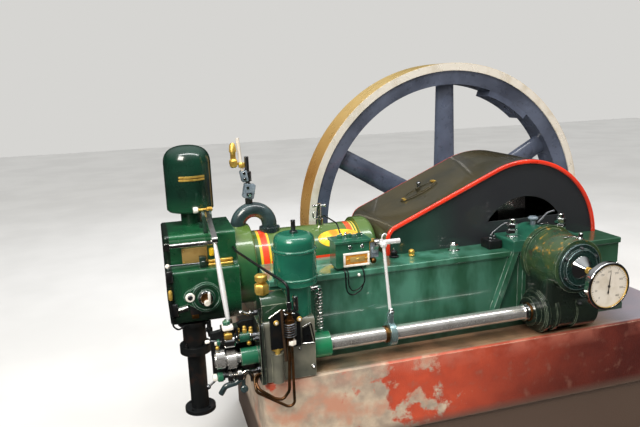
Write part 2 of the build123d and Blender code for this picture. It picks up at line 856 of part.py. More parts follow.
# End cover in two rounded steps, then the polished cone and its nut
cone_start = drum_front - 2 * cover_thickness
with BuildPart() as case_cover:
    round_y(cover_radius, drum_front, drum_front - cover_thickness, 0, crank_z)
    round_y(cover_radius - 2 * cover_step, drum_front - cover_thickness, cone_start, 0, crank_z)
    fillet(case_cover.edges().filter_by(GeomType.CIRCLE).sort_by(Axis.Y)[:2], cover_thickness / 3)
save(case_cover, "case_cover")

with BuildPart() as shaft_end_cone:
    with BuildSketch(Plane.XZ.offset(-cone_start)):
        with Locations((0, crank_z)):
            Circle(cone_base_radius)
    with BuildSketch(Plane.XZ.offset(-cone_start + cone_length)):
        with Locations((0, crank_z)):
            Circle(cone_tip_radius)
    loft()
    round_y(cone_nut_radius, cone_start - cone_length, cone_start - cone_length - cone_nut_length,
            0, crank_z)
save(shaft_end_cone, "shaft_end_cone")

# Tachometer: a turned dish with a round bezel, carried on a stem from the gear case
dial_z = crank_z - dial_drop
dial_front = dial_back - dial_depth
bezel_top = dial_z + dial_radius
with BuildPart() as tachometer:
    with BuildSketch(Plane.YZ.offset(dial_x)) as dial_half:
        with BuildLine() as dial_line:
            g1 = Line((dial_back, dial_z), (dial_back, bezel_top - 2 * dial_lip))
            g2 = Line(g1 @ 1, (dial_front + bezel_depth, bezel_top - dial_lip))
            g3 = Line(g2 @ 1, (dial_front + bezel_depth, bezel_top))
            g4 = Line(g3 @ 1, (dial_front + dial_lip, bezel_top))
            g5 = TangentArc(g4 @ 1, (dial_front, bezel_top - dial_lip), tangent=(-1, 0))
            g6 = Line(g5 @ 1, (dial_front, bezel_top - 1.5 * dial_lip))
            g7 = Line(g6 @ 1, (dial_front + dial_recess, bezel_top - 1.5 * dial_lip))
            g8 = Line(g7 @ 1, (dial_front + dial_recess, dial_z))
            Line(g8 @ 1, g1 @ 0)
        make_face()
    revolve(axis=Axis((dial_x, 0, dial_z), (0, 1, 0)))
save(tachometer, "tachometer")

with BuildPart() as tachometer_stem:
    round_y(stem_radius, case_front, dial_back, stem_x, crank_z - stem_drop)
    round_y(stem_radius + stem_collar, case_front, case_front - stem_collar_length, stem_x,
            crank_z - stem_drop)
save(tachometer_stem, "tachometer_stem")

# Governor and pump case: flanged box, rounded hump over the pump drive, filter bowl, window
gov_mid_y = (gov_near + gov_far) / 2
gov_width = gov_far - gov_near
hump_z = gov_top_z + hump_rise
with BuildPart() as governor_case:
    with BuildSketch(Plane.YZ.offset(gov_left)) as gov_outline:
        with Locations((gov_mid_y, plinth_top + gov_height / 2)):
            RectangleRounded(gov_width, gov_height, gov_corner)
        with Locations((gov_mid_y, plinth_top + gov_height / 4)):
            Rectangle(gov_width, gov_height / 2)
    extrude(amount=gov_right - gov_left)
    with BuildSketch(Plane.YZ.offset(gov_left)) as hump_outline:
        with Locations((side_shaft_y, hump_z)):
            Circle(hump_radius)
        with Locations((side_shaft_y, (hump_z + gov_top_z) / 2)):
            Rectangle(2 * hump_radius, hump_z - gov_top_z + 2 * gov_corner)
    extrude(amount=hump_right - gov_left)
    with BuildSketch(Plane.YZ.offset(gov_left)) as gov_flange:
        with Locations((gov_mid_y, plinth_top + gov_height / 2)):
            RectangleRounded(gov_width + 2 * gov_flange_lip, gov_height, gov_corner)
        with Locations((gov_mid_y, plinth_top + gov_height / 4)):
            Rectangle(gov_width + 2 * gov_flange_lip, gov_height / 2)
    extrude(amount=-gov_flange_length)
    round_z(filter_radius, plinth_top, plinth_top + filter_height, filter_x, gov_near)
    with BuildSketch(Plane.XZ.offset(-gov_near)) as window_outline:
        window_left = window_x - window_width / 2
        window_z = crank_z - window_drop
        with BuildLine():
            Polyline((window_left, window_z - window_height / 2 + window_lean),
                     (window_left + window_width, window_z - window_height / 2),
                     (window_left + window_top_width, window_z + window_height / 2),
                     (window_left, window_z + window_height / 2 - window_lean),
                     close=True)
        make_face()
    extrude(amount=-window_depth, mode=Mode.SUBTRACT)
    round_x(bush_radius, gov_right, gov_right + bush_length, side_shaft_y, side_shaft_z)
    round_x(outboard_bush_radius, flange_face, flange_face - outboard_bush_length, side_shaft_y,
            side_shaft_z)
    round_x(side_shaft_radius + running_fit, step_x, gov_right + bush_length,
            side_shaft_y, side_shaft_z, mode=Mode.SUBTRACT)
    round_x(cam_shaft_radius + running_fit, side_shaft_left, step_x, side_shaft_y, side_shaft_z,
            mode=Mode.SUBTRACT)
save(governor_case, "governor_case")

cap_out = cap_x + cap_radius
ring_z = cap_base_z + cap_ring_height
step_z = cap_top_z - cap_step_drop
tier_x = cap_out - cap_step
spring_x = gov_right + spring_out
spring_y = side_shaft_y + spring_in
arm_z = crank_z - arm_drop
with BuildPart() as governor_cap:
    round_z(cap_neck_radius, gov_top_z, cap_base_z, cap_x, side_shaft_y)
    with BuildSketch(Plane.XZ.offset(-side_shaft_y)) as cap_half:
        with BuildLine() as cap_line:
            c1 = Line((cap_x, cap_base_z), (cap_out - cap_ring, cap_base_z))
            c2 = Line(c1 @ 1, (cap_out - cap_ring, ring_z))
            c3 = ThreePointArc(c2 @ 1, (cap_out, ring_z + cap_ring_width / 2),
                               (cap_out - cap_ring, ring_z + cap_ring_width))
            c4 = Line(c3 @ 1, (cap_out - cap_ring, step_z - cap_ring_width))
            c5 = ThreePointArc(c4 @ 1, (cap_out, step_z - cap_ring_width / 2), (cap_out - cap_ring, step_z))
            c6 = Line(c5 @ 1, (tier_x, step_z))
            c7 = Line(c6 @ 1, (tier_x, step_z + cap_tier_height))
            c8 = TangentArc(c7 @ 1, (cap_x + cap_crown_radius, cap_top_z), tangent=(0, 1))
            c9 = Line(c8 @ 1, (cap_x, cap_top_z))
            Line(c9 @ 1, c1 @ 0)
        make_face()
    revolve(axis=Axis((cap_x, side_shaft_y, 0), (0, 0, 1)))
    round_x(hump_radius + seat_gap, gov_left, hump_right + seat_gap, side_shaft_y, hump_z,
            mode=Mode.SUBTRACT)
    round_x(spring_pin_radius, cap_x, spring_x + spring_pin_radius, spring_y, arm_z)
save(governor_cap, "governor_cap")

# Water bend: a flanged arch from the head joint over to the barrel
bend_spring_z = crank_z + bend_rise
bend_left_x = bend_mid_x - bend_radius
bend_right_x = bend_mid_x + bend_radius
bend_foot_z = crank_z + barrel_radius / 2
with BuildPart() as water_bend:
    with BuildLine(Plane.XZ) as bend_path:
        w1 = Line((bend_left_x, bend_foot_z), (bend_left_x, bend_spring_z))
        w2 = CenterArc((bend_mid_x, bend_spring_z), bend_radius, 180, -180)
        Line(w2 @ 1, (bend_right_x, bend_foot_z))
    with BuildSketch(Plane.XY.offset(bend_foot_z)):
        with Locations((bend_left_x, 0)):
            Circle(bend_tube)
    sweep(path=bend_path.wires()[0])
    round_z(bend_tube + bend_collar, bend_foot_z, wall_z + bend_collar_height, bend_right_x, 0)
    round_x(barrel_radius + seat_gap, barrel_left + seat_gap, guard_left, 0, crank_z,
            mode=Mode.SUBTRACT)
    round_x(joint_flange_radius + seat_gap, head_right, barrel_left + seat_gap, 0, crank_z,
            mode=Mode.SUBTRACT)
    block(head_left, head_right + seat_gap, -head_half, head_half, crank_z, 2 * crank_z,
          mode=Mode.SUBTRACT)
save(water_bend, "water_bend")

# Vent valve on the crown of the bend
vent_x = bend_mid_x - vent_offset
vent_foot = bend_spring_z + bend_radius + bend_tube
vent_shoulder = vent_foot + vent_height
with BuildPart() as vent_valve:
    round_z(vent_radius, vent_foot - vent_radius, vent_shoulder, vent_x, 0)
    round_z(vent_collar_radius, vent_foot + vent_height / 2, vent_foot + vent_height / 2 + vent_collar_height,
            vent_x, 0)
    round_z(vent_stem_radius, vent_shoulder, vent_shoulder + vent_stem_height, vent_x, 0)
    round_z(vent_grip_radius, vent_shoulder + vent_grip_lift,
            vent_shoulder + vent_grip_lift + vent_grip_height, vent_x, 0)
    round_y(bend_radius + bend_tube + seat_gap, -bend_tube, bend_tube, bend_mid_x, bend_spring_z,
            mode=Mode.SUBTRACT)
save(vent_valve, "vent_valve")

# Air silencer: domed drum on a neck at the far side of the head
dome_foot = head_top + dome_neck_height
dome_top = dome_foot + dome_height
with BuildPart() as air_silencer:
    with BuildSketch(Plane.XZ.offset(-dome_y)):
        with BuildLine():
            d1 = Line((dome_x, head_top), (dome_x + dome_neck_radius, head_top))
            d2 = Line(d1 @ 1, (dome_x + dome_neck_radius, dome_foot))
            d3 = Line(d2 @ 1, (dome_x + dome_radius - dome_lip, dome_foot))
            d4 = Line(d3 @ 1, (dome_x + dome_radius, dome_foot + dome_lip))
            d5 = Line(d4 @ 1, (dome_x + dome_radius, dome_top - dome_shoulder))
            d6 = Spline(d5 @ 1, (dome_x, dome_top), tangents=((0, 1), (-1, 0)))
            Line(d6 @ 1, d1 @ 0)
        make_face()
    revolve(axis=Axis((dome_x, dome_y, 0), (0, 0, 1)))
save(air_silencer, "air_silencer")

# Exhaust: short neck under the head, then a flanged pipe down to floor level
head_foot = crank_z - head_half
with BuildPart() as exhaust_neck:
    round_z(exhaust_radius + exhaust_neck_wall, exhaust_joint_z, head_foot, exhaust_x, exhaust_y)
    round_z(exhaust_flange_radius, head_foot - exhaust_flange, head_foot, exhaust_x, exhaust_y)
    round_z(exhaust_flange_radius, exhaust_joint_z, exhaust_joint_z + exhaust_flange,
            exhaust_x, exhaust_y)
save(exhaust_neck, "exhaust_neck")

with BuildPart() as exhaust_downpipe:
    round_z(exhaust_radius, exhaust_foot_z, exhaust_joint_z, exhaust_x, exhaust_y)
    round_z(exhaust_flange_radius, exhaust_joint_z - exhaust_flange, exhaust_joint_z,
            exhaust_x, exhaust_y)
    round_z(exhaust_flange_radius, exhaust_foot_z, exhaust_foot_z + exhaust_flange,
            exhaust_x, exhaust_y)
    round_z(exhaust_bore, exhaust_foot_z, exhaust_joint_z, exhaust_x, exhaust_y, mode=Mode.SUBTRACT)
    with Locations((exhaust_x, exhaust_y, exhaust_foot_z + exhaust_flange / 2)):
        with PolarLocations(exhaust_bolt_circle, exhaust_bolts, start_angle=180 / exhaust_bolts):
            Cylinder(exhaust_bolt_radius, exhaust_flange, mode=Mode.SUBTRACT)
save(exhaust_downpipe, "exhaust_downpipe")

# Mechanical lubricator on the bed flange, with its lid and fillers
oiler_lid_top = oiler_top + oiler_lid
with BuildPart() as lubricator:
    block(oiler_left, oiler_right, oiler_near, oiler_far, bed_top + oiler_base, oiler_top)
    fillet(lubricator.edges().filter_by(Axis.Z), oiler_round)
    block(oiler_left + oiler_base_inset, oiler_right - oiler_base_inset,
          oiler_near + oiler_base_inset, oiler_far - oiler_base_inset, bed_top, bed_top + oiler_base)
    block(oiler_left - oiler_lid_lip, oiler_right + oiler_lid_lip, oiler_near - oiler_lid_lip,
          oiler_far + oiler_lid_lip, oiler_top, oiler_lid_top)
    for k in range(fillers):
        filler_x = (oiler_left + oiler_right) / 2 + (k - (fillers - 1) / 2) * filler_pitch
        round_z(filler_radius, oiler_lid_top, oiler_lid_top + filler_height, filler_x, oiler_mid_y)
save(lubricator, "lubricator")

# Ratchet lever on the lubricator and the rod that rocks it from the side shaft
lever_half = lever_thickness / 2
pin_y = lever_y + lever_root
ratchet_z = crank_z + ratchet_rise
with BuildPart() as ratchet_lever:
    round_x(ratchet_radius, oiler_right, lever_x + lever_half, oiler_mid_y, ratchet_z)
    with BuildSketch(Plane.YZ.offset(lever_x - lever_half)):
        with Locations((oiler_mid_y, ratchet_z)):
            Circle(lever_root + lever_pin_radius)
        with Locations((pin_y, lever_z)):
            Circle(lever_tip + lever_pin_radius)
        make_hull()
    extrude(amount=lever_thickness)
    round_x(lever_pin_radius, lever_x + lever_half, lever_x + lever_pin_length, pin_y, lever_z)
save(ratchet_lever, "ratchet_lever")

strap_half = strap_width / 2
strap_top = side_shaft_z + strap_radius + strap_boss_height
with BuildPart() as shaft_strap:
    round_x(strap_radius, strap_x - strap_half, strap_x + strap_half, side_shaft_y, side_shaft_z)
    round_z(strap_boss_radius, side_shaft_z + side_shaft_radius, strap_top, strap_x, side_shaft_y)
    round_x(side_shaft_radius + running_fit, strap_x - strap_half, strap_x + strap_half, side_shaft_y,
            side_shaft_z, mode=Mode.SUBTRACT)
save(shaft_strap, "shaft_strap")

rod_foot = Vector(strap_x, side_shaft_y, strap_top)
rod_head = Vector(lever_x + rod_head_along, lever_y - rod_head_out, lever_z)
rod_line = rod_head - rod_foot
with BuildPart() as lubricator_rod:
    with BuildSketch(Plane(origin=rod_foot, z_dir=rod_line)):
        Circle(oiler_rod_radius)
    extrude(amount=rod_line.length)
    with Locations(rod_head):
        Sphere(oiler_rod_ball)
    round_y(lever_pin_radius + 1, rod_head.Y, pin_y, rod_head.X, rod_head.Z)
    round_z(strap_boss_radius, side_shaft_z, strap_top, strap_x, side_shaft_y, mode=Mode.SUBTRACT)
    round_x(lever_pin_radius + seat_gap, lever_x, lever_x + lever_pin_length, pin_y, lever_z,
            mode=Mode.SUBTRACT)
save(lubricator_rod, "lubricator_rod")

# Inlet follower: roller over the cam, plunger in a fork frame, guide arm from the case flange
cam_clear = cam_base_radius + cam_lift + free_gap
roller_z = side_shaft_z + cam_clear + roller_radius
fork_base = roller_z
fork_head = fork_base + fork_height
fork_half = fork_width / 2
with BuildPart() as cam_follower:
    round_x(roller_radius, inlet_cam_x - roller_width / 2, inlet_cam_x + roller_width / 2,
            side_shaft_y, roller_z)
    round_z(plunger_radius, roller_z, fork_head, inlet_cam_x, side_shaft_y)
    block(inlet_cam_x - fork_half, inlet_cam_x + fork_half, side_shaft_y - fork_depth / 2,
          side_shaft_y + fork_depth / 2 + pushrod_foot_in / 2, fork_head - fork_top, fork_head)
    for end in (-1, 1):
        block(inlet_cam_x + end * fork_half, inlet_cam_x + end * (fork_half - fork_plate),
              side_shaft_y - fork_depth / 2, side_shaft_y + fork_depth / 2, fork_base, fork_head)
    round_x(guide_radius, flange_face, inlet_cam_x, side_shaft_y + guide_y_shift,
            fork_base + guide_rise)
    round_z(locknut_radius, fork_head, fork_head + locknut_height, inlet_cam_x,
            side_shaft_y + pushrod_foot_in / 2)
save(cam_follower, "cam_follower")

# Exhaust follower: the same roller below the outer cam, on a lever from the case flange
exhaust_roller_z = side_shaft_z - cam_clear - roller_radius
with BuildPart() as exhaust_follower:
    round_x(roller_radius, exhaust_cam_x - roller_width / 2, exhaust_cam_x + roller_width / 2,
            side_shaft_y, exhaust_roller_z)
    round_x(pushrod_mid_radius, exhaust_cam_x - roller_width, flange_face, side_shaft_y,
            exhaust_roller_z)
    with BuildSketch(Plane.YZ.offset(inlet_cam_x - roller_width / 2)):
        with Locations((side_shaft_y, exhaust_roller_z)):
            Circle(guide_radius)
        with Locations((side_shaft_y + gov_back_reach, exhaust_roller_z - roller_radius / 2)):
            Circle(pushrod_mid_radius)
        make_hull()
    extrude(amount=roller_width)
save(exhaust_follower, "exhaust_follower")

# Polished push rod, thickest in the middle
pushrod_foot = Vector(inlet_cam_x, side_shaft_y + pushrod_foot_in / 2, fork_head + locknut_height)
pushrod_head = Vector(pushrod_head_x, -head_half - pushrod_head_out, head_top + pushrod_head_rise)
pushrod_line = pushrod_head - pushrod_foot
rocker_end_z = pushrod_head.Z + rocker_end_radius - pushrod_head_radius / 2
with BuildPart() as pushrod:
    for share, radius in ((0, pushrod_foot_radius), (pushrod_belly, pushrod_mid_radius),
                          (1, pushrod_head_radius)):
        with BuildSketch(Plane(origin=pushrod_foot + pushrod_line * share, z_dir=pushrod_line)):
            Circle(radius)
    loft()
    round_z(locknut_radius, fork_head, fork_head + locknut_height, pushrod_foot.X, pushrod_foot.Y,
            mode=Mode.SUBTRACT)
    round_x(rocker_end_radius + seat_gap, pushrod_head_x - rocker_thickness,
            pushrod_head_x + rocker_thickness, pushrod_head.Y, rocker_end_z, mode=Mode.SUBTRACT)
save(pushrod, "pushrod")

# Rocker over the head: forked pedestal, and a lever from the push rod to the inlet valve
rocker_z = head_top + rocker_rise
rocker_half = rocker_thickness / 2
cheek_out = rocker_half + seat_gap + rocker_cheek
with BuildPart() as rocker_bracket:
    block(pushrod_head_x - cheek_out, pushrod_head_x + cheek_out, rocker_pivot_y - rocker_foot_width / 2,
          rocker_pivot_y + rocker_foot_width / 2, head_top, rocker_z)
    round_x(rocker_foot_width / 2, pushrod_head_x - cheek_out, pushrod_head_x + cheek_out,
            rocker_pivot_y, rocker_z)
    block(pushrod_head_x - rocker_half - seat_gap, pushrod_head_x + rocker_half + seat_gap,
          rocker_pivot_y - rocker_foot_width, rocker_pivot_y + rocker_foot_width,
          rocker_z - rocker_boss_radius - rocker_cheek, rocker_z + rocker_foot_width,
          mode=Mode.SUBTRACT)
    round_x(rocker_pin_radius + seat_gap, pushrod_head_x - cheek_out, pushrod_head_x + cheek_out,
            rocker_pivot_y, rocker_z, mode=Mode.SUBTRACT)
    round_z(valve_guide_radius, head_top, head_top + valve_guide_height, pushrod_head_x, rocker_valve_y)
    round_z(valve_stem_radius, head_top, rocker_z - rocker_end_radius - valve_lash, pushrod_head_x,
            rocker_valve_y)
save(rocker_bracket, "rocker_bracket")

with BuildPart() as inlet_rocker:
    for end_y, end_z in ((pushrod_head.Y, rocker_end_z), (rocker_valve_y, rocker_z)):
        with BuildSketch(Plane.YZ.offset(pushrod_head_x - rocker_half)):
            with Locations((rocker_pivot_y, rocker_z)):
                Circle(rocker_boss_radius)
            with Locations((end_y, end_z)):
                Circle(rocker_end_radius)
            make_hull()
        extrude(amount=rocker_thickness)
    round_x(rocker_pin_radius, pushrod_head_x - cheek_out - running_fit,
            pushrod_head_x + cheek_out + running_fit, rocker_pivot_y, rocker_z)
save(inlet_rocker, "inlet_rocker")

# Fuel pump barrel on the front of the case, its delivery pipe and feed pipe
pump_y = gov_near - pump_out
pump_low = crank_z - pump_foot_drop
pump_high = crank_z - pump_head_drop
with BuildPart() as fuel_pump:
    round_z(pump_radius, pump_low + pump_foot, pump_high - pump_neck, pump_x, pump_y)
    round_z(pump_band_radius, pump_low + pump_band_low, pump_low + pump_band_low + pump_band_height,
            pump_x, pump_y)
    round_z(pump_core_radius, pump_low, pump_high, pump_x, pump_y)
    block(pump_x - pump_bracket_half, pump_x + pump_bracket_half, pump_y, gov_near,
          pump_low + pump_bracket_low, pump_high - pump_bracket_high)
save(fuel_pump, "fuel_pump")

injector_x = head_right - injector_along
injector_z = crank_z + injector_rise
with BuildPart() as delivery_pipe:
    with BuildLine() as delivery_path:
        FilletPolyline((pump_x, pump_y, pump_high), (pump_x, pump_y, pump_high + delivery_rise),
                       (pump_x - delivery_step, pump_y + delivery_back,
                        pump_high + delivery_rise + delivery_climb),
                       (injector_x, ledge_y - injector_out, injector_z),
                       (injector_x, ledge_y, injector_z), radius=delivery_bend)
    with BuildSketch(Plane.XY.offset(pump_high)):
        with Locations((pump_x, pump_y)):
            Circle(pipe_radius)
    sweep(path=delivery_path.wires()[0])
save(delivery_pipe, "delivery_pipe")

feed_x = pump_x + feed_shift
feed_end_x = flange_face - feed_out
feed_end_y = gov_near + feed_end_inset
with BuildPart() as feed_pipe:
    with BuildLine() as feed_path:
        FilletPolyline((feed_x, pump_y, pump_low), (feed_x, pump_y, plinth_top - feed_drop),
                       (feed_end_x, pump_y + feed_inset, plinth_top - feed_rise),
                       (feed_end_x, feed_end_y, plinth_top + feed_rise),
                       (flange_face, feed_end_y, plinth_top + feed_rise), radius=feed_bend)
    with BuildSketch(Plane(origin=(feed_x, pump_y, pump_low), z_dir=(0, 0, -1))):
        Circle(pipe_radius)
    sweep(path=feed_path.wires()[0])
save(feed_pipe, "feed_pipe")

# Governor speed spring between a pin on the case and the arm from the cap's neck
spring_low = crank_z - spring_low_drop
with BuildPart() as governor_spring:
    round_z(spring_radius, spring_low, arm_z - spring_pin_radius, spring_x, spring_y)
    round_x(spring_pin_radius, gov_right, spring_x + spring_pin_radius, spring_y,
            spring_low - spring_pin_radius)
save(governor_spring, "governor_spring")

# Small fittings: oil cup on the cap, check valve on the barrel, long stud along the head's ledge
with BuildPart() as oil_cup:
    round_z(cup_base_radius, cap_top_z, cap_top_z + cup_base_height, cap_x, side_shaft_y)
    round_z(cup_radius, cap_top_z + cup_base_height, cap_top_z + cup_base_height + cup_height, cap_x,
            side_shaft_y)
save(oil_cup, "oil_cup")

check_shoulder = wall_z + check_base_height
with BuildPart() as check_valve:
    round_z(check_base_radius, wall_z - check_radius, check_shoulder, check_x, 0)
    round_z(check_radius, check_shoulder, check_shoulder + check_height, check_x, 0)
    round_x(barrel_radius + seat_gap, check_x - check_base_radius, check_x + check_base_radius, 0,
            crank_z, mode=Mode.SUBTRACT)
save(check_valve, "check_valve")

stud_y = ledge_y - stud_out
stud_z = crank_z + stud_rise
stud_start = head_left + stud_inset
with BuildPart() as head_stud:
    round_x(stud_radius, stud_start, stud_start + stud_length, stud_y, stud_z)
    block(stud_start - stud_nut, stud_start, stud_y - stud_nut_half, stud_y + stud_nut_half,
          stud_z - stud_nut_half, stud_z + stud_nut_half)
    for post_x in (head_left + stud_post_along, head_left + stud_post_along + stud_post_pitch):
        round_y(stud_post_radius, stud_y, ledge_y, post_x, stud_z)
save(head_stud, "head_stud")
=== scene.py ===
"""The looks of the stationary diesel engine: finishes, fastenings, fittings, studio and camera."""
import json
import math
from contextlib import contextmanager

import bmesh
import bpy
from mathutils import Matrix, Vector
from mathutils.bvhtree import BVHTree


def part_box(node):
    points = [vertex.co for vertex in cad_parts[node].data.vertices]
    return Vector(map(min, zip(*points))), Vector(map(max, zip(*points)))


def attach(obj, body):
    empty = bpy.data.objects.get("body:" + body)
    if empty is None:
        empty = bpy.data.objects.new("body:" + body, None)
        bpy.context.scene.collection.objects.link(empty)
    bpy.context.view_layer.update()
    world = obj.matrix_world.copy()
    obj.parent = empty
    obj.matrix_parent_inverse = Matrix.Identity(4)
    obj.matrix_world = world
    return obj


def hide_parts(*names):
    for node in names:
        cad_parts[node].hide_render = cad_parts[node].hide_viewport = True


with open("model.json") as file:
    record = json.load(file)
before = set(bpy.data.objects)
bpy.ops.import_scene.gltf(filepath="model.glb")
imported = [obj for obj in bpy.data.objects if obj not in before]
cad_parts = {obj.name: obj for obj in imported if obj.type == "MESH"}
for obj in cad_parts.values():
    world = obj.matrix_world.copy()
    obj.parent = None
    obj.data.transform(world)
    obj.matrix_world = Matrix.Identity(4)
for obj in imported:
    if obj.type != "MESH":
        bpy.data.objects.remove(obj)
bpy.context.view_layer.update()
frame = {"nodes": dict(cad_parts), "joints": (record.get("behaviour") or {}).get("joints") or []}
nodes = frame["nodes"]
scene = bpy.context.scene

# Camera place in metres and its turns in degrees, from the straight and round edges in the picture
camera_place = Vector((-1.5664, -2.4445, 1.557))
camera_yaw = 16.003
camera_pitch = 12.322
camera_roll = -2.0986
picture_width = 640
focal_pixels = 607.727
sensor_width = 36.0

made_camera = bpy.data.objects.new("camera", bpy.data.cameras.new("camera"))
made_camera.data.sensor_width = sensor_width
made_camera.data.lens = focal_pixels * sensor_width / picture_width
made_camera.matrix_world = (Matrix.Translation(camera_place)
                            @ Matrix.Rotation(math.radians(-camera_yaw), 4, "Z")
                            @ Matrix.Rotation(math.radians(90 - camera_pitch), 4, "X")
                            @ Matrix.Rotation(math.radians(camera_roll), 4, "Z"))
scene.collection.objects.link(made_camera)
bpy.context.scene.camera = made_camera

# Directions
UP = Vector((0, 0, 1))
DOWN = -UP
RIGHT = Vector((1, 0, 0))
LEFT = -RIGHT
FAR = Vector((0, 1, 0))
NEAR = -FAR


def corners(node):
    """A node's lowest and highest corner in millimetres."""
    low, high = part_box(node)
    return low * 1000, high * 1000


# The shafts' lines and the corners of the parts that fittings stand on, in millimetres
crank_z = frame["joints"][0]["pos_m"][2] * 1000
shaft_y = frame["joints"][1]["pos_m"][1] * 1000
shaft_z = frame["joints"][1]["pos_m"][2] * 1000
plinth_low, plinth_high = corners("foundation_block")
dial_low, dial_high = corners("tachometer")
dome_low, dome_high = corners("air_silencer")
spring_low, spring_high = corners("governor_spring")
strap_low, strap_high = corners("shaft_strap")
exhaust_low, exhaust_high = corners("exhaust_downpipe")
head_low = corners("cylinder_head")[0]
cover_low = corners("case_cover")[0]
bed_high = corners("bed")[1]
wheel_high = corners("flywheel")[1]
trees = {}

# A line that looks for a seat starts over a part, before the head or before the governor case, in millimetres
drop_from = 1100
head_front = -400
case_front = -700
seat_reach = 3000


def seat(node, start, way):
    """Where a line from a place along a way first meets a node, in millimetres."""
    if node not in trees:
        mesh = nodes[node].data
        trees[node] = BVHTree.FromPolygons([v.co for v in mesh.vertices],
                                           [p.vertices for p in mesh.polygons])
    spot = trees[node].ray_cast(Vector(start) / 1000, Vector(way), seat_reach / 1000)[0]
    if spot is None:
        raise ValueError(f"nothing of {node} lies along {start}")
    return spot * 1000


# Shapes. Each adds to an open mesh and takes its sizes in millimetres. Edges are eased in the order in which
# they were made, because the order of a set changes from run to run
@contextmanager
def crafted(name, finish, slot, body="engine_frame", smooth=35, replaces=None):
    """An open mesh that closes into a finished piece that rides on a body."""
    mesh = bmesh.new()
    yield mesh
    bmesh.ops.recalc_face_normals(mesh, faces=mesh.faces)
    data = bpy.data.meshes.new(name)
    mesh.to_mesh(data)
    mesh.free()
    data.shade_smooth()
    data.set_sharp_from_angle(angle=math.radians(smooth))
    data.materials.append(finish)
    made = bpy.data.objects.new(name, data)
    scene.collection.objects.link(made)
    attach(made, body)
    if replaces:
        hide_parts(replaces)


def turned(mesh, foot, axis, outline, sides=32):
    """A turned form: the outline lists (radius, height) from the foot along the axis."""
    foot = Vector(foot)
    turn = Vector(axis).to_track_quat("Z", "Y").to_matrix()
    rings = []
    for radius, height in outline:
        if radius <= 0:
            rings.append([mesh.verts.new((foot + turn @ Vector((0, 0, height))) / 1000)])
            continue
        circle = []
        for k in range(sides):
            angle = 2 * math.pi * (k + 0.5) / sides
            spot = Vector((radius * math.cos(angle), radius * math.sin(angle), height))
            circle.append(mesh.verts.new((foot + turn @ spot) / 1000))
        rings.append(circle)
    for lower, upper in zip(rings, rings[1:]):
        for k in range(sides):
            loop = [lower[k % len(lower)], lower[(k + 1) % len(lower)],
                    upper[(k + 1) % len(upper)], upper[k % len(upper)]]
            loop = list(dict.fromkeys(loop))
            if len(loop) > 2:
                mesh.faces.new(loop)
    for circle in (rings[0], rings[-1]):
        if len(circle) > 2:
            mesh.faces.new(circle)


def disc(mesh, foot, axis, radius, height, edge=1.0, sides=32):
    """A round boss or collar with both edges eased."""
    edge = min(edge, height / 3)
    turned(mesh, foot, axis, [(0, 0), (radius - edge, 0), (radius, edge), (radius, height - edge),
                              (radius - edge, height), (0, height)], sides)


def turned_loop(mesh, foot, axis, outline, sides=48):
    """A turned ring whose outline of (radius, height) closes on itself."""
    foot = Vector(foot)
    turn = Vector(axis).to_track_quat("Z", "Y").to_matrix()
    rings = []
    for k in range(sides):
        angle = 2 * math.pi * k / sides
        spots = [Vector((r * math.cos(angle), r * math.sin(angle), h)) for r, h in outline]
        rings.append([mesh.verts.new((foot + turn @ spot) / 1000) for spot in spots])
    for this, after in zip(rings, rings[1:] + rings[:1]):
        for k in range(len(outline)):
            n = (k + 1) % len(outline)
            mesh.faces.new([this[k], after[k], after[n], this[n]])


def ring(mesh, foot, axis, inner, outer, height, edge=1.0, sides=48):
    """A flat ring with eased edges round an open middle."""
    turned_loop(mesh, foot, axis, [(inner, 0), (outer - edge, 0), (outer, edge), (outer, height - edge),
                                   (outer - edge, height), (inner, height)], sides)


def hexagon(mesh, foot, axis, across, height):
    """A chamfered hexagon, given by its width across the flats."""
    corner_share = 0.577
    corner = corner_share * across
    turned(mesh, foot, axis, [(0, 0), (0.88 * corner, 0), (corner, 0.12 * height), (corner, 0.86 * height),
                              (0.86 * corner, height), (0, height)], 6)


def hex_nut(mesh, foot, axis, across, stud=0.5):
    """A hexagon nut on a washer, with the stud's end showing; the stud's share is of the width across."""
    foot, axis = Vector(foot), Vector(axis)
    washer_radius = 0.62 * across
    disc(mesh, foot, axis, washer_radius, 0.12 * across, 0.6, 24)
    hexagon(mesh, foot + axis * 0.12 * across, axis, across, 0.6 * across)
    if stud > 0:
        disc(mesh, foot + axis * 0.7 * across, axis, 0.29 * across, stud * across, 1.5, 16)


def slotted_screw(mesh, foot, axis, radius, slot_way):
    """A cheese-head screw with a slot across its top."""
    foot, axis, slot_way = Vector(foot), Vector(axis), Vector(slot_way)
    disc(mesh, foot, axis, radius, 0.7 * radius, 0.15 * radius, 20)
    for side in (-1, 1):
        across = axis.cross(slot_way) * side
        crown = foot + axis * 0.7 * radius
        half = [(-0.9 * radius, 0.14 * radius), (0.9 * radius, 0.14 * radius), (0.62 * radius, 0.68 * radius),
                (-0.62 * radius, 0.68 * radius)]
        drawn_plate(mesh, half, crown, slot_way, across, 0.25 * radius * side, 0)


def slab(mesh, low, high, ease=1.5, turn=None, steps=2):
    """A block between two corners with its edges eased; turn rotates it about its middle."""
    low, high = Vector(low) / 1000, Vector(high) / 1000
    place = Matrix.Translation((low + high) / 2) @ (turn or Matrix.Identity(4)) @ Matrix.Diagonal(
        (*(high - low), 1))
    cube = bmesh.ops.create_cube(mesh, size=1, matrix=place)
    rims = list(dict.fromkeys(e for v in cube["verts"] for e in v.link_edges))
    if ease > 0:
        bmesh.ops.bevel(mesh, geom=rims, offset=ease / 1000, segments=steps, affect="EDGES", profile=0.5)


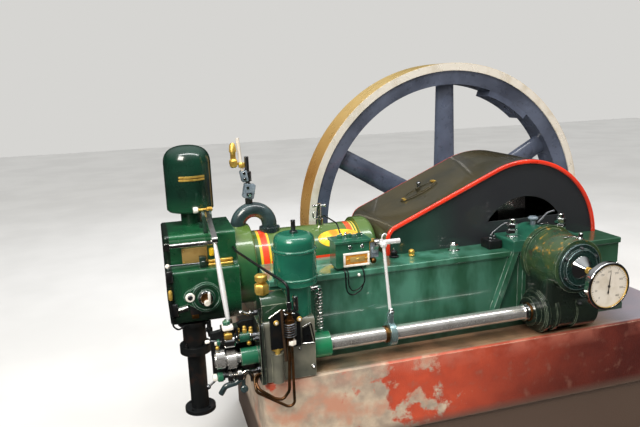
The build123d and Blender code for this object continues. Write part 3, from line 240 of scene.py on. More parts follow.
def bent(points, bend, steps=6):
    """The centre line through the points with each corner rounded to the bend, in millimetres."""
    points = [Vector(p) for p in points]
    path = [points[0]]
    for before, corner, after in zip(points, points[1:], points[2:]):
        back, on = before - corner, after - corner
        half = back.angle(on) / 2
        cut = min(bend / math.tan(half), 0.48 * back.length, 0.48 * on.length)
        start, end = corner + back.normalized() * cut, corner + on.normalized() * cut
        for k in range(steps + 1):
            t = k / steps
            path.append((1 - t) ** 2 * start + 2 * t * (1 - t) * corner + t ** 2 * end)
    path.append(points[-1])
    return path


def swept(mesh, path, radius, sides=12, closed=False):
    """A round bar or pipe along a path; the radius is one number or one for each point."""
    radii = radius if isinstance(radius, (list, tuple)) else [radius] * len(path)
    side = (path[1] - path[0]).orthogonal().normalized()
    last = len(path) - 1
    rings = []
    for k, spot in enumerate(path):
        ahead = path[(k + 1) % len(path)] if closed else path[min(k + 1, last)]
        behind = path[k - 1] if closed else path[max(k - 1, 0)]
        along = (ahead - behind).normalized()
        side = (side - along * side.dot(along)).normalized()
        across = along.cross(side)
        rings.append([mesh.verts.new((spot + (side * math.cos(a) + across * math.sin(a)) * radii[k]) / 1000)
                      for a in (2 * math.pi * n / sides for n in range(sides))])
    pairs = list(zip(rings, rings[1:])) + ([(rings[-1], rings[0])] if closed else [])
    for this, after in pairs:
        for k in range(sides):
            n = (k + 1) % sides
            mesh.faces.new([this[k], this[n], after[n], after[k]])
    if not closed:
        mesh.faces.new(rings[0])
        mesh.faces.new(rings[-1])


def pipe(mesh, points, radius, bend=20, sides=12):
    """A pipe bent round the points."""
    swept(mesh, bent(points, bend), radius, sides)


def ball(mesh, middle, radius, squash=1.0):
    """A turned ball, flattened by the squash."""
    arc = [(radius * math.sin(a), -radius * squash * math.cos(a)) for a in
           (math.pi * k / 10 for k in range(11))]
    arc[0], arc[-1] = (0, arc[0][1]), (0, arc[-1][1])
    turned(mesh, middle, UP, arc, 20)


def coil(mesh, foot, axis, coil_radius, wire, turns, length, sides=8):
    """A wound spring from the foot along the axis."""
    turn = Vector(axis).to_track_quat("Z", "Y").to_matrix()
    per_turn = 20
    path = []
    for k in range(int(turns * per_turn) + 1):
        angle = 2 * math.pi * k / per_turn
        rise = length * k / (turns * per_turn)
        path.append(Vector(foot) + turn @ Vector((coil_radius * math.cos(angle),
                                                  coil_radius * math.sin(angle), rise)))
    swept(mesh, path, wire, sides)


def drawn_plate(mesh, outline, foot, across, up, thickness, ease=1.0):
    """A flat plate cut to an outline of (across, up) points, thickened along the plate's face."""
    foot, across, up = Vector(foot), Vector(across), Vector(up)
    face_way = across.cross(up).normalized()
    front = [mesh.verts.new((foot + across * a + up * b) / 1000) for a, b in outline]
    back = [mesh.verts.new(v.co + face_way * thickness / 1000) for v in front]
    made = [mesh.faces.new(front), mesh.faces.new(list(reversed(back)))]
    for k in range(len(front)):
        n = (k + 1) % len(front)
        made.append(mesh.faces.new([front[k], back[k], back[n], front[n]]))
    rim = list(dict.fromkeys(e for f in made[:2] for e in f.edges))
    if ease > 0:
        bmesh.ops.bevel(mesh, geom=rim, offset=ease / 1000, segments=2, affect="EDGES", profile=0.5)


def arc_plate(radius, thickness, start, end, steps=16):
    """The outline of a curved strip from one angle to another, in degrees, about its centre."""
    outer = [(radius + thickness, start + (end - start) * k / steps) for k in range(steps + 1)]
    inner = [(radius, end + (start - end) * k / steps) for k in range(steps + 1)]
    return [(r * math.cos(math.radians(a)), r * math.sin(math.radians(a))) for r, a in outer + inner]


# The plain font draws a figure 0.7 of its size high, so this share gives nearly the height asked for
figure_size = 1.4


def figure(mesh, text, foot, height, thickness):
    """Plain figures that face the front, about a place."""
    letters = bpy.data.curves.new("figure", "FONT")
    letters.body = text
    letters.size = height / 1000 * figure_size
    letters.align_x = "CENTER"
    letters.align_y = "CENTER"
    letters.extrude = thickness / 2000
    letters.resolution_u = 2
    holder = bpy.data.objects.new("figure", letters)
    scene.collection.objects.link(holder)
    bpy.context.view_layer.update()
    flat = bpy.data.meshes.new_from_object(holder.evaluated_get(bpy.context.evaluated_depsgraph_get()))
    flat.transform(Matrix.Translation(Vector(foot) / 1000) @ Matrix.Rotation(math.pi / 2, 4, "X"))
    mesh.from_mesh(flat)
    bpy.data.objects.remove(holder)
    bpy.data.curves.remove(letters)
    bpy.data.meshes.remove(flat)


# Finishes. A pixel of the picture is about 4 mm across at the engine's front, so brush waves, cast grain,
# concrete grit and tool lines are drawn coarser than real ones. The tool lines show only from nearer by
def linear(colour):
    """An sRGB hex colour as the linear colour that a shader takes."""
    shares = [int(colour[k:k + 2], 16) / 255 for k in (1, 3, 5)]
    return (*[s / 12.92 if s <= 0.04045 else ((s + 0.055) / 1.055) ** 2.4 for s in shares], 1.0)


def add_node(tree, kind, inputs=None, output=0, **settings):
    """Adds a shader node with its settings; an input is a constant, a hex colour or another node's output."""
    made = tree.nodes.new("ShaderNode" + kind)
    for name, value in settings.items():
        setattr(made, name, value)
    for socket, value in (inputs or {}).items():
        if isinstance(value, bpy.types.NodeSocket):
            tree.links.new(value, made.inputs[socket])
        else:
            made.inputs[socket].default_value = linear(value) if isinstance(value, str) else value
    return made.outputs[output] if made.outputs else None


def new_finish(name):
    """An empty material and its node tree."""
    made = bpy.data.materials.new(name)
    made.use_nodes = True
    made.node_tree.nodes.clear()
    return made, made.node_tree


def zone(tree, axis, start, end):
    """A share that grows from 0 at one place along an axis to 1 at another, in millimetres."""
    spot = add_node(tree, "TexCoord", output="Object")
    value = add_node(tree, "SeparateXYZ", {0: spot}, output=axis)
    return add_node(tree, "MapRange", {"Value": value, "From Min": start / 1000, "From Max": end / 1000})


def stripe(tree, axis, middle, half):
    """A share of 1 on a stripe about a middle along an axis, in millimetres."""
    spot = add_node(tree, "TexCoord", output="Object")
    value = add_node(tree, "SeparateXYZ", {0: spot}, output=axis)
    off = add_node(tree, "Math", {0: value, 1: middle / 1000}, operation="SUBTRACT")
    off = add_node(tree, "Math", {0: off}, operation="ABSOLUTE")
    return add_node(tree, "MapRange", {"Value": off, "From Min": (half + 0.5) / 1000,
                                       "From Max": (half - 0.5) / 1000})


def patches(tree, size, low, high, detail=3.0, stretch=(1, 1, 1), shift=(0, 0, 0), least=0.0, most=1.0):
    """Soft patches of a size in millimetres, from the least value to the most."""
    spot = add_node(tree, "TexCoord", output="Object")
    placed = add_node(tree, "Mapping", {"Vector": spot, "Scale": stretch, "Location": shift})
    cloud = add_node(tree, "TexNoise", {"Vector": placed, "Scale": 1000 / size, "Detail": detail,
                                        "Roughness": 0.55})
    return add_node(tree, "MapRange", {"Value": cloud, "From Min": low, "From Max": high,
                                       "To Min": least, "To Max": most})


def coats(tree, base, *layers):
    """Colours laid over a base; each layer is its colour and the shares that are multiplied for it."""
    for tint, share, *others in layers:
        for other in others:
            share = add_node(tree, "Math", {0: share, 1: other}, operation="MULTIPLY")
        base = add_node(tree, "Mix", {0: share, 6: base, 7: tint}, output=2, data_type="RGBA")
    return base


def edges(tree, width):
    """A share of 1 where the casting turns a corner within the width in millimetres, 0 on the flats."""
    eased = add_node(tree, "Bevel", {"Radius": width / 1000}, samples=6)
    flat = add_node(tree, "NewGeometry", output="Normal")
    same = add_node(tree, "VectorMath", {0: eased, 1: flat}, output="Value", operation="DOT_PRODUCT")
    return add_node(tree, "MapRange", {"Value": same, "From Min": 0.985, "From Max": 0.86})


def relief(tree, height, depth, ease=0.0):
    """A surface normal from a height pattern; the depth and the ease of corners are in millimetres."""
    sockets = {"Height": height, "Distance": depth / 1000, "Strength": 1.0}
    if ease > 0:
        sockets["Normal"] = add_node(tree, "Bevel", {"Radius": ease / 1000}, samples=6)
    return add_node(tree, "Bump", sockets)


def close_finish(tree, **sockets):
    """Ends a tree with its shader; a socket's name is given with its spaces as underscores."""
    named = {name.replace("_", " "): value for name, value in sockets.items()}
    shader = add_node(tree, "BsdfPrincipled", named)
    add_node(tree, "OutputMaterial", {"Surface": shader})


def gloss_enamel(name, coat, deep, worn_edge_and_highlight, gloss=0.3, cloud=180, peel=11.0, edge_wear_and_highlight=0.35, zones=(), blooms=(),
                 stretch=(1, 1, 1)):
    """Oil enamel brushed on cast iron: deep colour, wet shine, soft brush waves, paler edges that are partly
    thin paint and partly a painted highlight.

    A zone is (axis, start, end, colour, strength): the paint turns to that colour along the axis.
    A bloom is (colour, size, axis, start, end): patches of that colour and size on the far side of a place.
    """
    made, tree = new_finish(name)
    colour = coats(tree, coat, (deep, patches(tree, cloud, 0.38, 0.64, stretch=stretch)))
    for axis, start, end, tint, strength in zones:
        colour = coats(tree, colour, (tint, zone(tree, axis, start, end), strength))
    for tint, size, axis, start, end in blooms:
        bloom_share = patches(tree, size, 0.6, 0.72, 4)
        colour = coats(tree, colour, (tint, bloom_share, zone(tree, axis, start, end), bloom_strength))
    # Paler edges: partly paint rubbed thin, partly a painted highlight along the corners
    colour = coats(tree, colour, (worn_edge_and_highlight, edges(tree, 3.0), patches(tree, 34, 0.36, 0.6, 4), edge_wear_and_highlight))
    rough = patches(tree, 120, 0.3, 0.75, 4, shift=(3, 1, 2), least=gloss, most=gloss + 0.16)
    waves = patches(tree, peel, 0.2, 0.8, 2)
    close_finish(tree, Base_Color=colour, Roughness=rough, Normal=relief(tree, waves, 0.16, 2.5),
                 Coat_Weight=1.0, Coat_Roughness=0.05, IOR=1.5)
    return made


def polished_steel(name, tone="#e2dfd9", dark="#a09c96", grain=(1, 1, 1), gloss=0.14, line=1.6, metal=1.0):
    """Steel turned and rubbed bright: mirror bands along the cut, faint tool lines, a thin oil stain.

    The tool lines are 1.6 mm apart, coarser than a lathe leaves.
    """
    made, tree = new_finish(name)
    colour = coats(tree, tone, (dark, patches(tree, 60, 0.5, 0.78, 5, shift=(1, 4, 2))))
    rough = patches(tree, 60, 0.5, 0.78, 5, shift=(1, 4, 2), least=gloss, most=gloss + 0.2)
    lines = patches(tree, line, 0.2, 0.8, 2, stretch=grain)
    close_finish(tree, Base_Color=colour, Metallic=metal, Roughness=rough,
                 Normal=relief(tree, lines, 0.006, 1.2))
    return made


def polished_brass(name, tone="#e6b64e", dull="#8a6228", gloss=0.2, cloud=22, metal=1.0):
    """Brass rubbed bright on the high spots, browner where the rag misses."""
    made, tree = new_finish(name)
    colour = coats(tree, tone, (dull, patches(tree, cloud, 0.45, 0.7, 4)))
    rough = patches(tree, 14, 0.3, 0.7, least=gloss, most=gloss + 0.2)
    close_finish(tree, Base_Color=colour, Metallic=metal, Roughness=rough,
                 Normal=relief(tree, patches(tree, 3, 0.2, 0.8), 0.01, 0.8))
    return made


def tarnished_copper(name, tone="#6d4a2e", dull="#37301f"):
    """Drawn copper pipe gone brown in the hand and the air, with a little red left."""
    made, tree = new_finish(name)
    colour = coats(tree, tone, (dull, patches(tree, 40, 0.4, 0.66, 4)))
    close_finish(tree, Base_Color=colour, Metallic=0.8, Roughness=0.3,
                 Normal=relief(tree, patches(tree, 5, 0.2, 0.8), 0.03))
    return made


def oiled_iron(name, tone="#141617", rust="#33211a", gloss=0.28):
    """Cast iron blacked and wiped with oil: near black, satin, a rusty bloom in patches."""
    made, tree = new_finish(name)
    colour = coats(tree, tone, (rust, patches(tree, 50, 0.55, 0.75, 5)))
    rough = patches(tree, 30, 0.3, 0.7, least=gloss, most=gloss + 0.25)
    close_finish(tree, Base_Color=colour, Roughness=rough, Specular_IOR_Level=0.35,
                 Normal=relief(tree, patches(tree, 4, 0.25, 0.75, 5), 0.25, 1.5))
    return made


def wheel_finish(name):
    """Blue-grey enamel on the spokes and web; the rim turned bright, its near-white band partly a painted
    sheen, its outer face warm and lighter towards the top as a painted reflection.
    """
    made, tree = new_finish(name)
    spot = add_node(tree, "TexCoord", output="Object")
    local = add_node(tree, "VectorMath", {0: spot, 1: (0, 0, crank_z / 1000)}, operation="SUBTRACT")
    flat = add_node(tree, "VectorMath", {0: local, 1: (1, 0, 1)}, operation="MULTIPLY")
    reach = add_node(tree, "VectorMath", {0: flat}, output="Value", operation="LENGTH")
    rim_radius = (wheel_high.z - crank_z) / 1000
    bright = add_node(tree, "MapRange", {"Value": reach, "From Min": rim_radius - rim_band - 0.0006,
                                         "From Max": rim_radius - rim_band - 0.0002})
    face = add_node(tree, "MapRange", {"Value": reach, "From Min": rim_radius - 0.0015,
                                       "From Max": rim_radius - 0.0005})
    # The near-white rim steel with little metal is partly a painted sheen; the warm outer face, lighter
    # towards the top, is a painted reflection
    strip = coats(tree, "#fbf6ea", ("#d9ceb4", patches(tree, 90, 0.5, 0.8, 4)))
    warm_reflection = coats(tree, "#dcab62", ("#c08a48", patches(tree, 420, 0.4, 0.62)),
                 ("#f6d78a", zone(tree, "Z", crank_z + 250, crank_z + 700), 0.8))
    steel = coats(tree, strip, (warm_reflection, face))
    colour = coats(tree, "#5d667a", ("#3e4453", patches(tree, 240, 0.36, 0.66)),
                   ("#2a2e33", patches(tree, 26, 0.6, 0.78, 5)), (steel, bright))
    cut = add_node(tree, "TexWave", {"Vector": add_node(tree, "CombineXYZ", {"X": reach}),
                                     "Scale": tool_lines, "Distortion": 0.4, "Detail": 2.0})
    height = add_node(tree, "Mix", {0: bright, 2: patches(tree, 11, 0.2, 0.8, 2), 3: cut}, data_type="FLOAT")
    depth = add_node(tree, "MapRange", {"Value": bright, "To Min": paint_depth, "To Max": line_depth})
    eased = add_node(tree, "Bevel", {"Radius": 0.002}, samples=6)
    normal = add_node(tree, "Bump", {"Height": height, "Distance": depth, "Normal": eased})
    metal = add_node(tree, "Math", {0: bright, 1: rim_metal}, operation="MULTIPLY")
    close_finish(tree, Base_Color=colour, Metallic=metal, Normal=normal, Coat_Weight=0.6, Coat_Roughness=0.08,
                 Roughness=patches(tree, 70, 0.3, 0.7, least=0.24, most=0.36))
    return made


def plinth_finish(name):
    """Floor paint worn off trowelled concrete: brick red coats, bare buff patches, oil on the top; the red
    darker towards the right as painted shade.
    """
    made, tree = new_finish(name)
    top = plinth_high.z
    spot = add_node(tree, "TexCoord", output="Object")
    side = add_node(tree, "SeparateXYZ", {0: spot}, output="X")
    bare_end = add_node(tree, "MapRange", {"Value": side, "From Min": worn_from / 1000,
                                           "From Max": worn_to / 1000, "To Min": 0.4, "To Max": -0.22})
    flakes = add_node(tree, "TexNoise", {"Vector": spot, "Scale": 1000 / 130, "Detail": 9.0,
                                         "Roughness": 0.64})
    flaked = add_node(tree, "Math", {0: flakes, 1: bare_end}, operation="ADD")
    from_chip = add_node(tree, "VectorMath", {0: spot, 1: red_chip}, output="Value", operation="DISTANCE")
    chip = add_node(tree, "MapRange", {"Value": from_chip, "From Min": 0.01, "From Max": 0.07,
                                       "To Min": 0.3, "To Max": 0.0})
    flaked = add_node(tree, "Math", {0: flaked, 1: chip}, operation="SUBTRACT")
    bare = add_node(tree, "MapRange", {"Value": flaked, "From Min": 0.58, "From Max": 0.64})
    # The red is darker towards the right end as painted shade, and darker lower down in the middle
    paint = coats(tree, "#c24a2a", ("#ab3f26", patches(tree, 90, 0.35, 0.65, 5)),
                  ("#62251c", zone(tree, "X", -560, 300)),
                  ("#4c1e1a", zone(tree, "X", -200, 420), patches(tree, 140, 0.35, 0.65, 4)),
                  ("#4a1d17", zone(tree, "Z", top - 60, top - 230), zone(tree, "X", -500, -100), 0.6),
                  ("#8f6a58", patches(tree, 45, 0.58, 0.78, 6), 0.45))
    ground = coats(tree, "#c0ae98", ("#97897a", patches(tree, 60, 0.35, 0.65, 6)),
                   ("#b9866e", patches(tree, 120, 0.5, 0.66, 5, shift=(5, 0, 0))))
    oily = coats(tree, "#77634a", ("#474233", patches(tree, 110, 0.38, 0.62, 6)),
                 ("#8a6a52", patches(tree, 200, 0.5, 0.7, 4, shift=(0, 4, 0))),
                 ("#84828a", zone(tree, "X", 120, 380)))
    on_top = zone(tree, "Z", top - 6, top - 2)
    colour = coats(tree, paint, (ground, bare),
                   ("#c4735f", zone(tree, "Z", top - 75, top - 15),
                    patches(tree, 120, 0.42, 0.6, 5, shift=(0, 0, 7)), 0.55),
                   ("#d2b9a2", edges(tree, 9), patches(tree, 50, 0.35, 0.6, 5)),
                   (oily, on_top, 0.9),
                   # Darker just above the floor line
                   ("#5a4a40", zone(tree, "Z", floor_level + 40, floor_level - 2)))
    grit = add_node(tree, "TexNoise", {"Vector": spot, "Scale": 1000 / 6, "Detail": 6.0})
    height = add_node(tree, "Mix", {0: 0.35, 2: grit, 3: bare}, data_type="FLOAT")
    dull = add_node(tree, "MapRange", {"Value": bare, "To Min": 0.42, "To Max": 0.82})
    rough = add_node(tree, "Mix", {0: on_top, 2: dull, 3: 0.3}, data_type="FLOAT")
    close_finish(tree, Base_Color=colour, Roughness=rough, Normal=relief(tree, height, 1.4, 3.0))
    return made


def jacket_finish(name):
    """Green enamel with painted lining: red rings edged in gold at both ends and a plain yellow oval; the top
    turns yellow-green as a painted highlight.
    """
    made, tree = new_finish(name)
    # The upper part turns yellow-green as a painted highlight
    colour = coats(tree, "#2c6238", ("#1d4a30", patches(tree, 200, 0.38, 0.64)),
                   ("#58702c", zone(tree, "Z", crank_z + 40, crank_z + 128), 0.8))
    for middle, half, tint in lining_rings:
        colour = coats(tree, colour, (tint, stripe(tree, "X", middle, half)))
    for middle, half, tint in lining_lines:
        colour = coats(tree, colour, (tint, stripe(tree, "Z", crank_z + middle, half),
                                      zone(tree, "X", lining_left, lining_left + 1),
                                      zone(tree, "X", lining_right, lining_right - 1)))
    spot = add_node(tree, "TexCoord", output="Object")
    around = add_node(tree, "VectorRotate", {"Vector": spot, "Center": (0, 0, crank_z / 1000),
                                             "Angle": oval_angle}, rotation_type="X_AXIS")
    flat = add_node(tree, "VectorMath", {0: around, 1: oval_middle}, operation="SUBTRACT")
    flat = add_node(tree, "VectorMath", {0: flat, 1: oval_shape}, operation="DIVIDE")
    reach = add_node(tree, "VectorMath", {0: flat}, output="Value", operation="LENGTH")
    badge = add_node(tree, "MapRange", {"Value": reach, "From Min": 1.01, "From Max": 0.985})
    yellow = coats(tree, "#f6cc1e", ("#e08a10", patches(tree, 40, 0.4, 0.62)))
    close_finish(tree, Base_Color=coats(tree, colour, (yellow, badge)), Coat_Weight=1.0, Coat_Roughness=0.06,
                 Roughness=patches(tree, 110, 0.3, 0.7, least=0.22, most=0.36),
                 Normal=relief(tree, patches(tree, 10, 0.2, 0.8, 2), 0.16, 2.5))
    return made


def plain_enamel(name, coat, shade, gloss=0.22, size=30):
    """A thin coat of enamel on a small fitting: even colour, a little handling dirt, satin shine."""
    made, tree = new_finish(name)
    close_finish(tree, Base_Color=coats(tree, coat, (shade, patches(tree, size, 0.45, 0.72, 4))),
                 Roughness=gloss, Coat_Weight=0.4, Coat_Roughness=0.1,
                 Normal=relief(tree, patches(tree, 6, 0.2, 0.8), 0.05, 1.0))
    return made


# The share of the blooms on the paint, and of bare metal on the rim
bloom_strength = 0.75
rim_metal = 0.35
# The rim's bright band, the waves of the paint and the depth of the tool lines, in metres
rim_band = 0.038
paint_depth = 0.00014
line_depth = 0.000003
# A wave of this scale draws the rim's tool lines 0.8 mm apart, coarser than a lathe leaves
tool_lines = 400.0
# The floor's height and the ends of the plinth's worn stretch in millimetres; a red chip's place in metres
floor_level = 240.0
worn_from = plinth_low.x
worn_to = -70.0
red_chip = (-1.21, -0.505, 0.51)
# The jacket's painted lining: middle and half width in millimetres, and colour
lining_rings = ((-1148, 5, "#e8b62c"), (-1130, 12, "#e8401e"), (-1112, 4, "#e8b62c"),
                (-757, 11, "#e2521e"), (-741, 2.5, "#f0cc50"), (-729, 2.5, "#f0cc50"))
lining_left = -1112.0
lining_right = -757.0
lining_lines = ((26, 7, "#d63c1e"), (-8, 9, "#c98a2c"), (-22, 2, "#d8b23c"))
# The yellow oval: its turn round the cylinder, and its middle and half sizes in metres
oval_angle = math.radians(44)
oval_middle = (-0.812, -0.166, crank_z / 1000)
oval_shape = (0.092, 1.0, 0.0435)

# On the bed the upright streaks of the stretched patches are painted reflections; the darker right end and
# darker foot are painted shade
bed_green = gloss_enamel("green_enamel_bed", "#4a8570", "#235840", "#dbe8e0", cloud=80, edge_wear_and_highlight=0.95,
                         stretch=(1, 1, 0.4),
                         zones=(("X", -560, 60, "#23452f", 0.85), ("Z", 640, 560, "#1c3a2c", 0.5)))
# On the head the strip at the left end and the bottom are darkened as painted shade
head_green = gloss_enamel("green_enamel_head", "#1b5a36", "#0f3a26", "#c9dcd4", 0.22, edge_wear_and_highlight=0.8,
                          stretch=(1, 1, 0.5),
                          zones=(("X", -1503, -1505, "#121b17", 0.9), ("Z", 745, 690, "#0e1814", 0.85)))
cap_green = gloss_enamel("green_enamel_cap", "#1c6a52", "#115040", "#9cc8b4", 0.2, edge_wear_and_highlight=0.6)
bearing_green = gloss_enamel("green_enamel_bearing", "#235e4a", "#1a4638", "#8fc0ae", edge_wear_and_highlight=0.6)
# The guard's side plates turn slate grey towards the right as a painted reflection
guard_side_green = gloss_enamel("dark_green_enamel_sheet", "#29493f", "#1c3830", "#6d7a70", 0.3, 200,
                                zones=(("X", -520, -310, "#2b2b30", 0.93),))
# The guard top's olive-brown is partly the sheet's olive paint and partly a painted warm reflection
guard_top_olive_and_sheen = gloss_enamel("olive_enamel_sheet_with_warm_sheen", "#3f3820", "#2e2c1c", "#8a7a5c", 0.4, 240)
# On the gear case the band below the drum is darkened as painted shade; the blooms lay amber and dark brown
# patches on the upper drum
case_olive = gloss_enamel("olive_green_enamel_case", "#3e4e2c", "#25402d", "#a8b89c", 0.2, 70, edge_wear_and_highlight=0.7,
                          zones=(("Z", 776, 742, "#161e1b", 0.92),),
                          blooms=(("#c08a2a", 26, "Z", 800, 850), ("#3a2a1c", 40, "Z", 760, 800)))
case_cover_green = gloss_enamel("dark_green_enamel_cover", "#1a3430", "#142624", "#b9cfc8", 0.2, edge_wear_and_highlight=0.8)
pump_olive = gloss_enamel("grey_olive_enamel_case", "#6a695c", "#4d4f46", "#c4c4ae", 0.26, 90, edge_wear_and_highlight=0.8,
                          zones=(("Z", 748, 756, "#1c3f28", 0.95), ("X", -1222, -1229, "#1a241e", 0.9),
                                 ("X", -1245.5, -1246, "#1f6648", 0.95),
                                 ("X", -1046.5, -1045.5, "#0e7048", 0.95)))
bend_grey = gloss_enamel("grey_green_enamel_pipe", "#36484a", "#202c2e", "#8a9590", 0.22, 60)
# The silencer dome is lighter green towards its lower part as a painted highlight
silencer_green = gloss_enamel("bottle_green_enamel_dome", "#143a2c", "#0b241a", "#6f8678", 0.16,
                              zones=(("Z", 1120, 1060, "#1d5034", 0.6),))
green = gloss_enamel("green_enamel_fittings", "#25684c", "#1a4a38", "#a0c4b4", 0.24, 60, edge_wear_and_highlight=0.6)
deep_green = gloss_enamel("deep_green_enamel_fittings", "#1c3a2c", "#14261f", "#8aa698", 0.26, 60)
red = gloss_enamel("red_enamel_beading", "#f0381a", "#c82c16", "#f08058", 0.24)
jacket_green = jacket_finish("lined_green_enamel")
wheel = wheel_finish("wheel_enamel_and_turned_rim")
plinth = plinth_finish("worn_red_floor_paint_on_concrete")
steel = polished_steel("turned_steel")
# The side shaft's and the rods' steel is near-white with less than full metal, so its diffuse part paints a
# highlight over the whole surface
shaft_steel = polished_steel("turned_steel_along_x", "#f4f1ec", "#c9c4bc", grain=(1, 0.02, 0.02), metal=0.85)
bright_steel = polished_steel("burnished_steel_rod", "#ffffff", "#eceae6", gloss=0.2, metal=0.5)
dark_steel = polished_steel("oiled_steel", "#8d8f92", "#4c4a48", gloss=0.28)
teal_steel = polished_steel("teal_tinted_steel", "#a9c4c4", "#6f8a8c", gloss=0.2, metal=0.8)
chrome = polished_steel("chromed_brass", "#f2f2f0", "#cfcfcc", gloss=0.06)
gold = polished_brass("lacquered_brass", "#f6cf6a", "#c4933a", 0.3, metal=0.75)
bronze = polished_brass("bronze_casting", "#8a6238", "#4e3820", 0.34)
ochre = plain_enamel("dull_brass_plate", "#a98c50", "#8f7038", 0.34, 50)
amber = plain_enamel("amber_oil_glass", "#cf8c34", "#94591e", 0.12, 14)
copper = tarnished_copper("tarnished_copper")
black = oiled_iron("oiled_black_iron")
brown_iron = oiled_iron("brown_oiled_iron", "#3a2a1c", "#241c14", 0.3)
dark_pipe = oiled_iron("black_oiled_pipe", "#101214", "#241c16", 0.24)
white = plain_enamel("white_enamel", "#f4efe6", "#c8c0b0")
cream = plain_enamel("cream_dial_card", "#d9d2c6", "#c4baa8", 0.45, 60)
ink = plain_enamel("black_dial_paint", "#1c1a18", "#2c2824", 0.4)
grey_ink = plain_enamel("grey_dial_paint", "#55534e", "#6d6a62", 0.4)
slate = plain_enamel("blue_grey_enamel", "#7d8a94", "#4c5a64")
yellow = plain_enamel("yellow_enamel", "#f0c81e", "#c08818")

dressed = {
    "foundation_block": plinth, "bed": bed_green, "near_bearing_cap": bearing_green,
    "far_bearing_cap": bearing_green, "crankshaft": steel, "flywheel": wheel,
    "guard_wrapper": guard_top_olive_and_sheen, "guard_near_plate": guard_side_green,
    "guard_far_plate": guard_side_green, "guard_beading": red, "guard_lid": guard_top_olive_and_sheen,
    "cylinder_jacket": jacket_green, "cylinder_head": head_green, "side_shaft": shaft_steel,
    "timing_case": case_olive, "case_cover": case_cover_green, "shaft_end_cone": chrome,
    "tachometer": chrome, "tachometer_stem": case_cover_green, "governor_case": pump_olive,
    "governor_cap": cap_green, "water_bend": bend_grey, "vent_valve": dark_steel,
    "air_silencer": silencer_green, "exhaust_neck": black, "exhaust_downpipe": black,
    "lubricator": green, "ratchet_lever": steel, "shaft_strap": teal_steel, "lubricator_rod": bright_steel,
    "cam_follower": dark_steel, "exhaust_follower": dark_steel, "pushrod": bright_steel,
    "rocker_bracket": deep_green, "inlet_rocker": steel, "fuel_pump": bronze,
    "delivery_pipe": dark_pipe, "feed_pipe": copper, "oil_cup": dark_steel, "check_valve": steel,
    "head_stud": steel, "governor_spring": steel,
}
for node_name, finish in dressed.items():
    node = nodes[node_name]
    if not node.material_slots:
        node.data.materials.append(finish)
    for slot in node.material_slots:
        slot.material = finish


# Fastenings, fittings and small pipes, region by region
def stud_stack(mesh, foot, across):
    """A standing stud with a washer and two nuts."""
    foot = Vector(foot)
    disc(mesh, foot, UP, 0.62 * across, 0.12 * across, 0.8, 24)
    hexagon(mesh, foot + UP * 0.12 * across, UP, across, 0.72 * across)
    hexagon(mesh, foot + UP * 0.88 * across, UP, across, 0.55 * across)
    disc(mesh, foot + UP * 1.4 * across, UP, 0.34 * across, 0.5 * across, 2, 20)


def open_frame(mesh, low, high, bar):
    """Four bars round an opening that faces the front."""
    low, high = Vector(low), Vector(high)
    slab(mesh, low, (high.x, high.y, low.z + bar))
    slab(mesh, (low.x, low.y, high.z - bar), high)
    slab(mesh, (low.x, low.y, low.z + bar), (low.x + bar, high.y, high.z - bar))
    slab(mesh, (high.x - bar, low.y, low.z + bar), (high.x, high.y, high.z - bar))


def instrument():
    """The speed dial's card, graduations, figures, pointer and bezel fittings."""
    middle = (dial_low + dial_high) / 2
    face = seat("tachometer", (middle.x, dial_low.y - 50, middle.z), FAR)
    first_angle = 225
    sweep = 270
    line_count = 40
    figure_count = 8
    figure_radius = 57
    card_radius = 81.5
    pointer_angle = 84.5
    lug_angle = 1.08
    with crafted("dial_card", cream, "dial") as mesh:
        disc(mesh, face + FAR * 0.5, NEAR, card_radius, 1.3, 0.2, 64)
    front = face + NEAR * 0.7
    with crafted("dial_graduations", grey_ink, "dial") as mesh:
        for k in range(line_count + 1):
            angle = math.radians(first_angle - sweep * k / line_count)
            rise = Vector((math.cos(angle), 0, math.sin(angle)))
            across = Vector((math.sin(angle), 0, -math.cos(angle)))
            start, half = (68, 0.9) if k % 5 == 0 else (72, 0.45)
            drawn_plate(mesh, [(-half, start), (half, start), (half, 77), (-half, 77)], front, across, rise,
                        0.4, 0)
    with crafted("dial_figures", grey_ink, "dial", smooth=20) as mesh:
        for k in range(figure_count + 1):
            angle = math.radians(first_angle - sweep * k / figure_count)
            spot = front + Vector((math.cos(angle), 0, math.sin(angle))) * figure_radius
            figure(mesh, str(50 * k), spot, 8, 0.6)
    with crafted("dial_pointer", ink, "black") as mesh:
        lean = math.radians(pointer_angle)
        rise = Vector((math.cos(lean), 0, math.sin(lean)))
        across = Vector((math.sin(lean), 0, -math.cos(lean)))
        kite = [(0, 60), (1.8, 10), (1.4, -14), (3.6, -24), (0, -32), (-3.6, -24), (-1.4, -14), (-1.8, 10)]
        drawn_plate(mesh, kite, front + NEAR * 1.4, across, rise, 0.9, 0.2)
        disc(mesh, front, NEAR, 5, 3.4, 0.6, 24)
    with crafted("dial_gold_ring", gold, "brass") as mesh:
        ring(mesh, face + FAR * 0.5, NEAR, 80.8, 83.2, 4.6, 0.5, 72)
    with crafted("dial_bezel_lug", chrome, "steel") as mesh:
        side = Vector((math.cos(lug_angle), 0, math.sin(lug_angle)))
        disc(mesh, middle + side * 86, side, 5, 9, 1.5, 20)


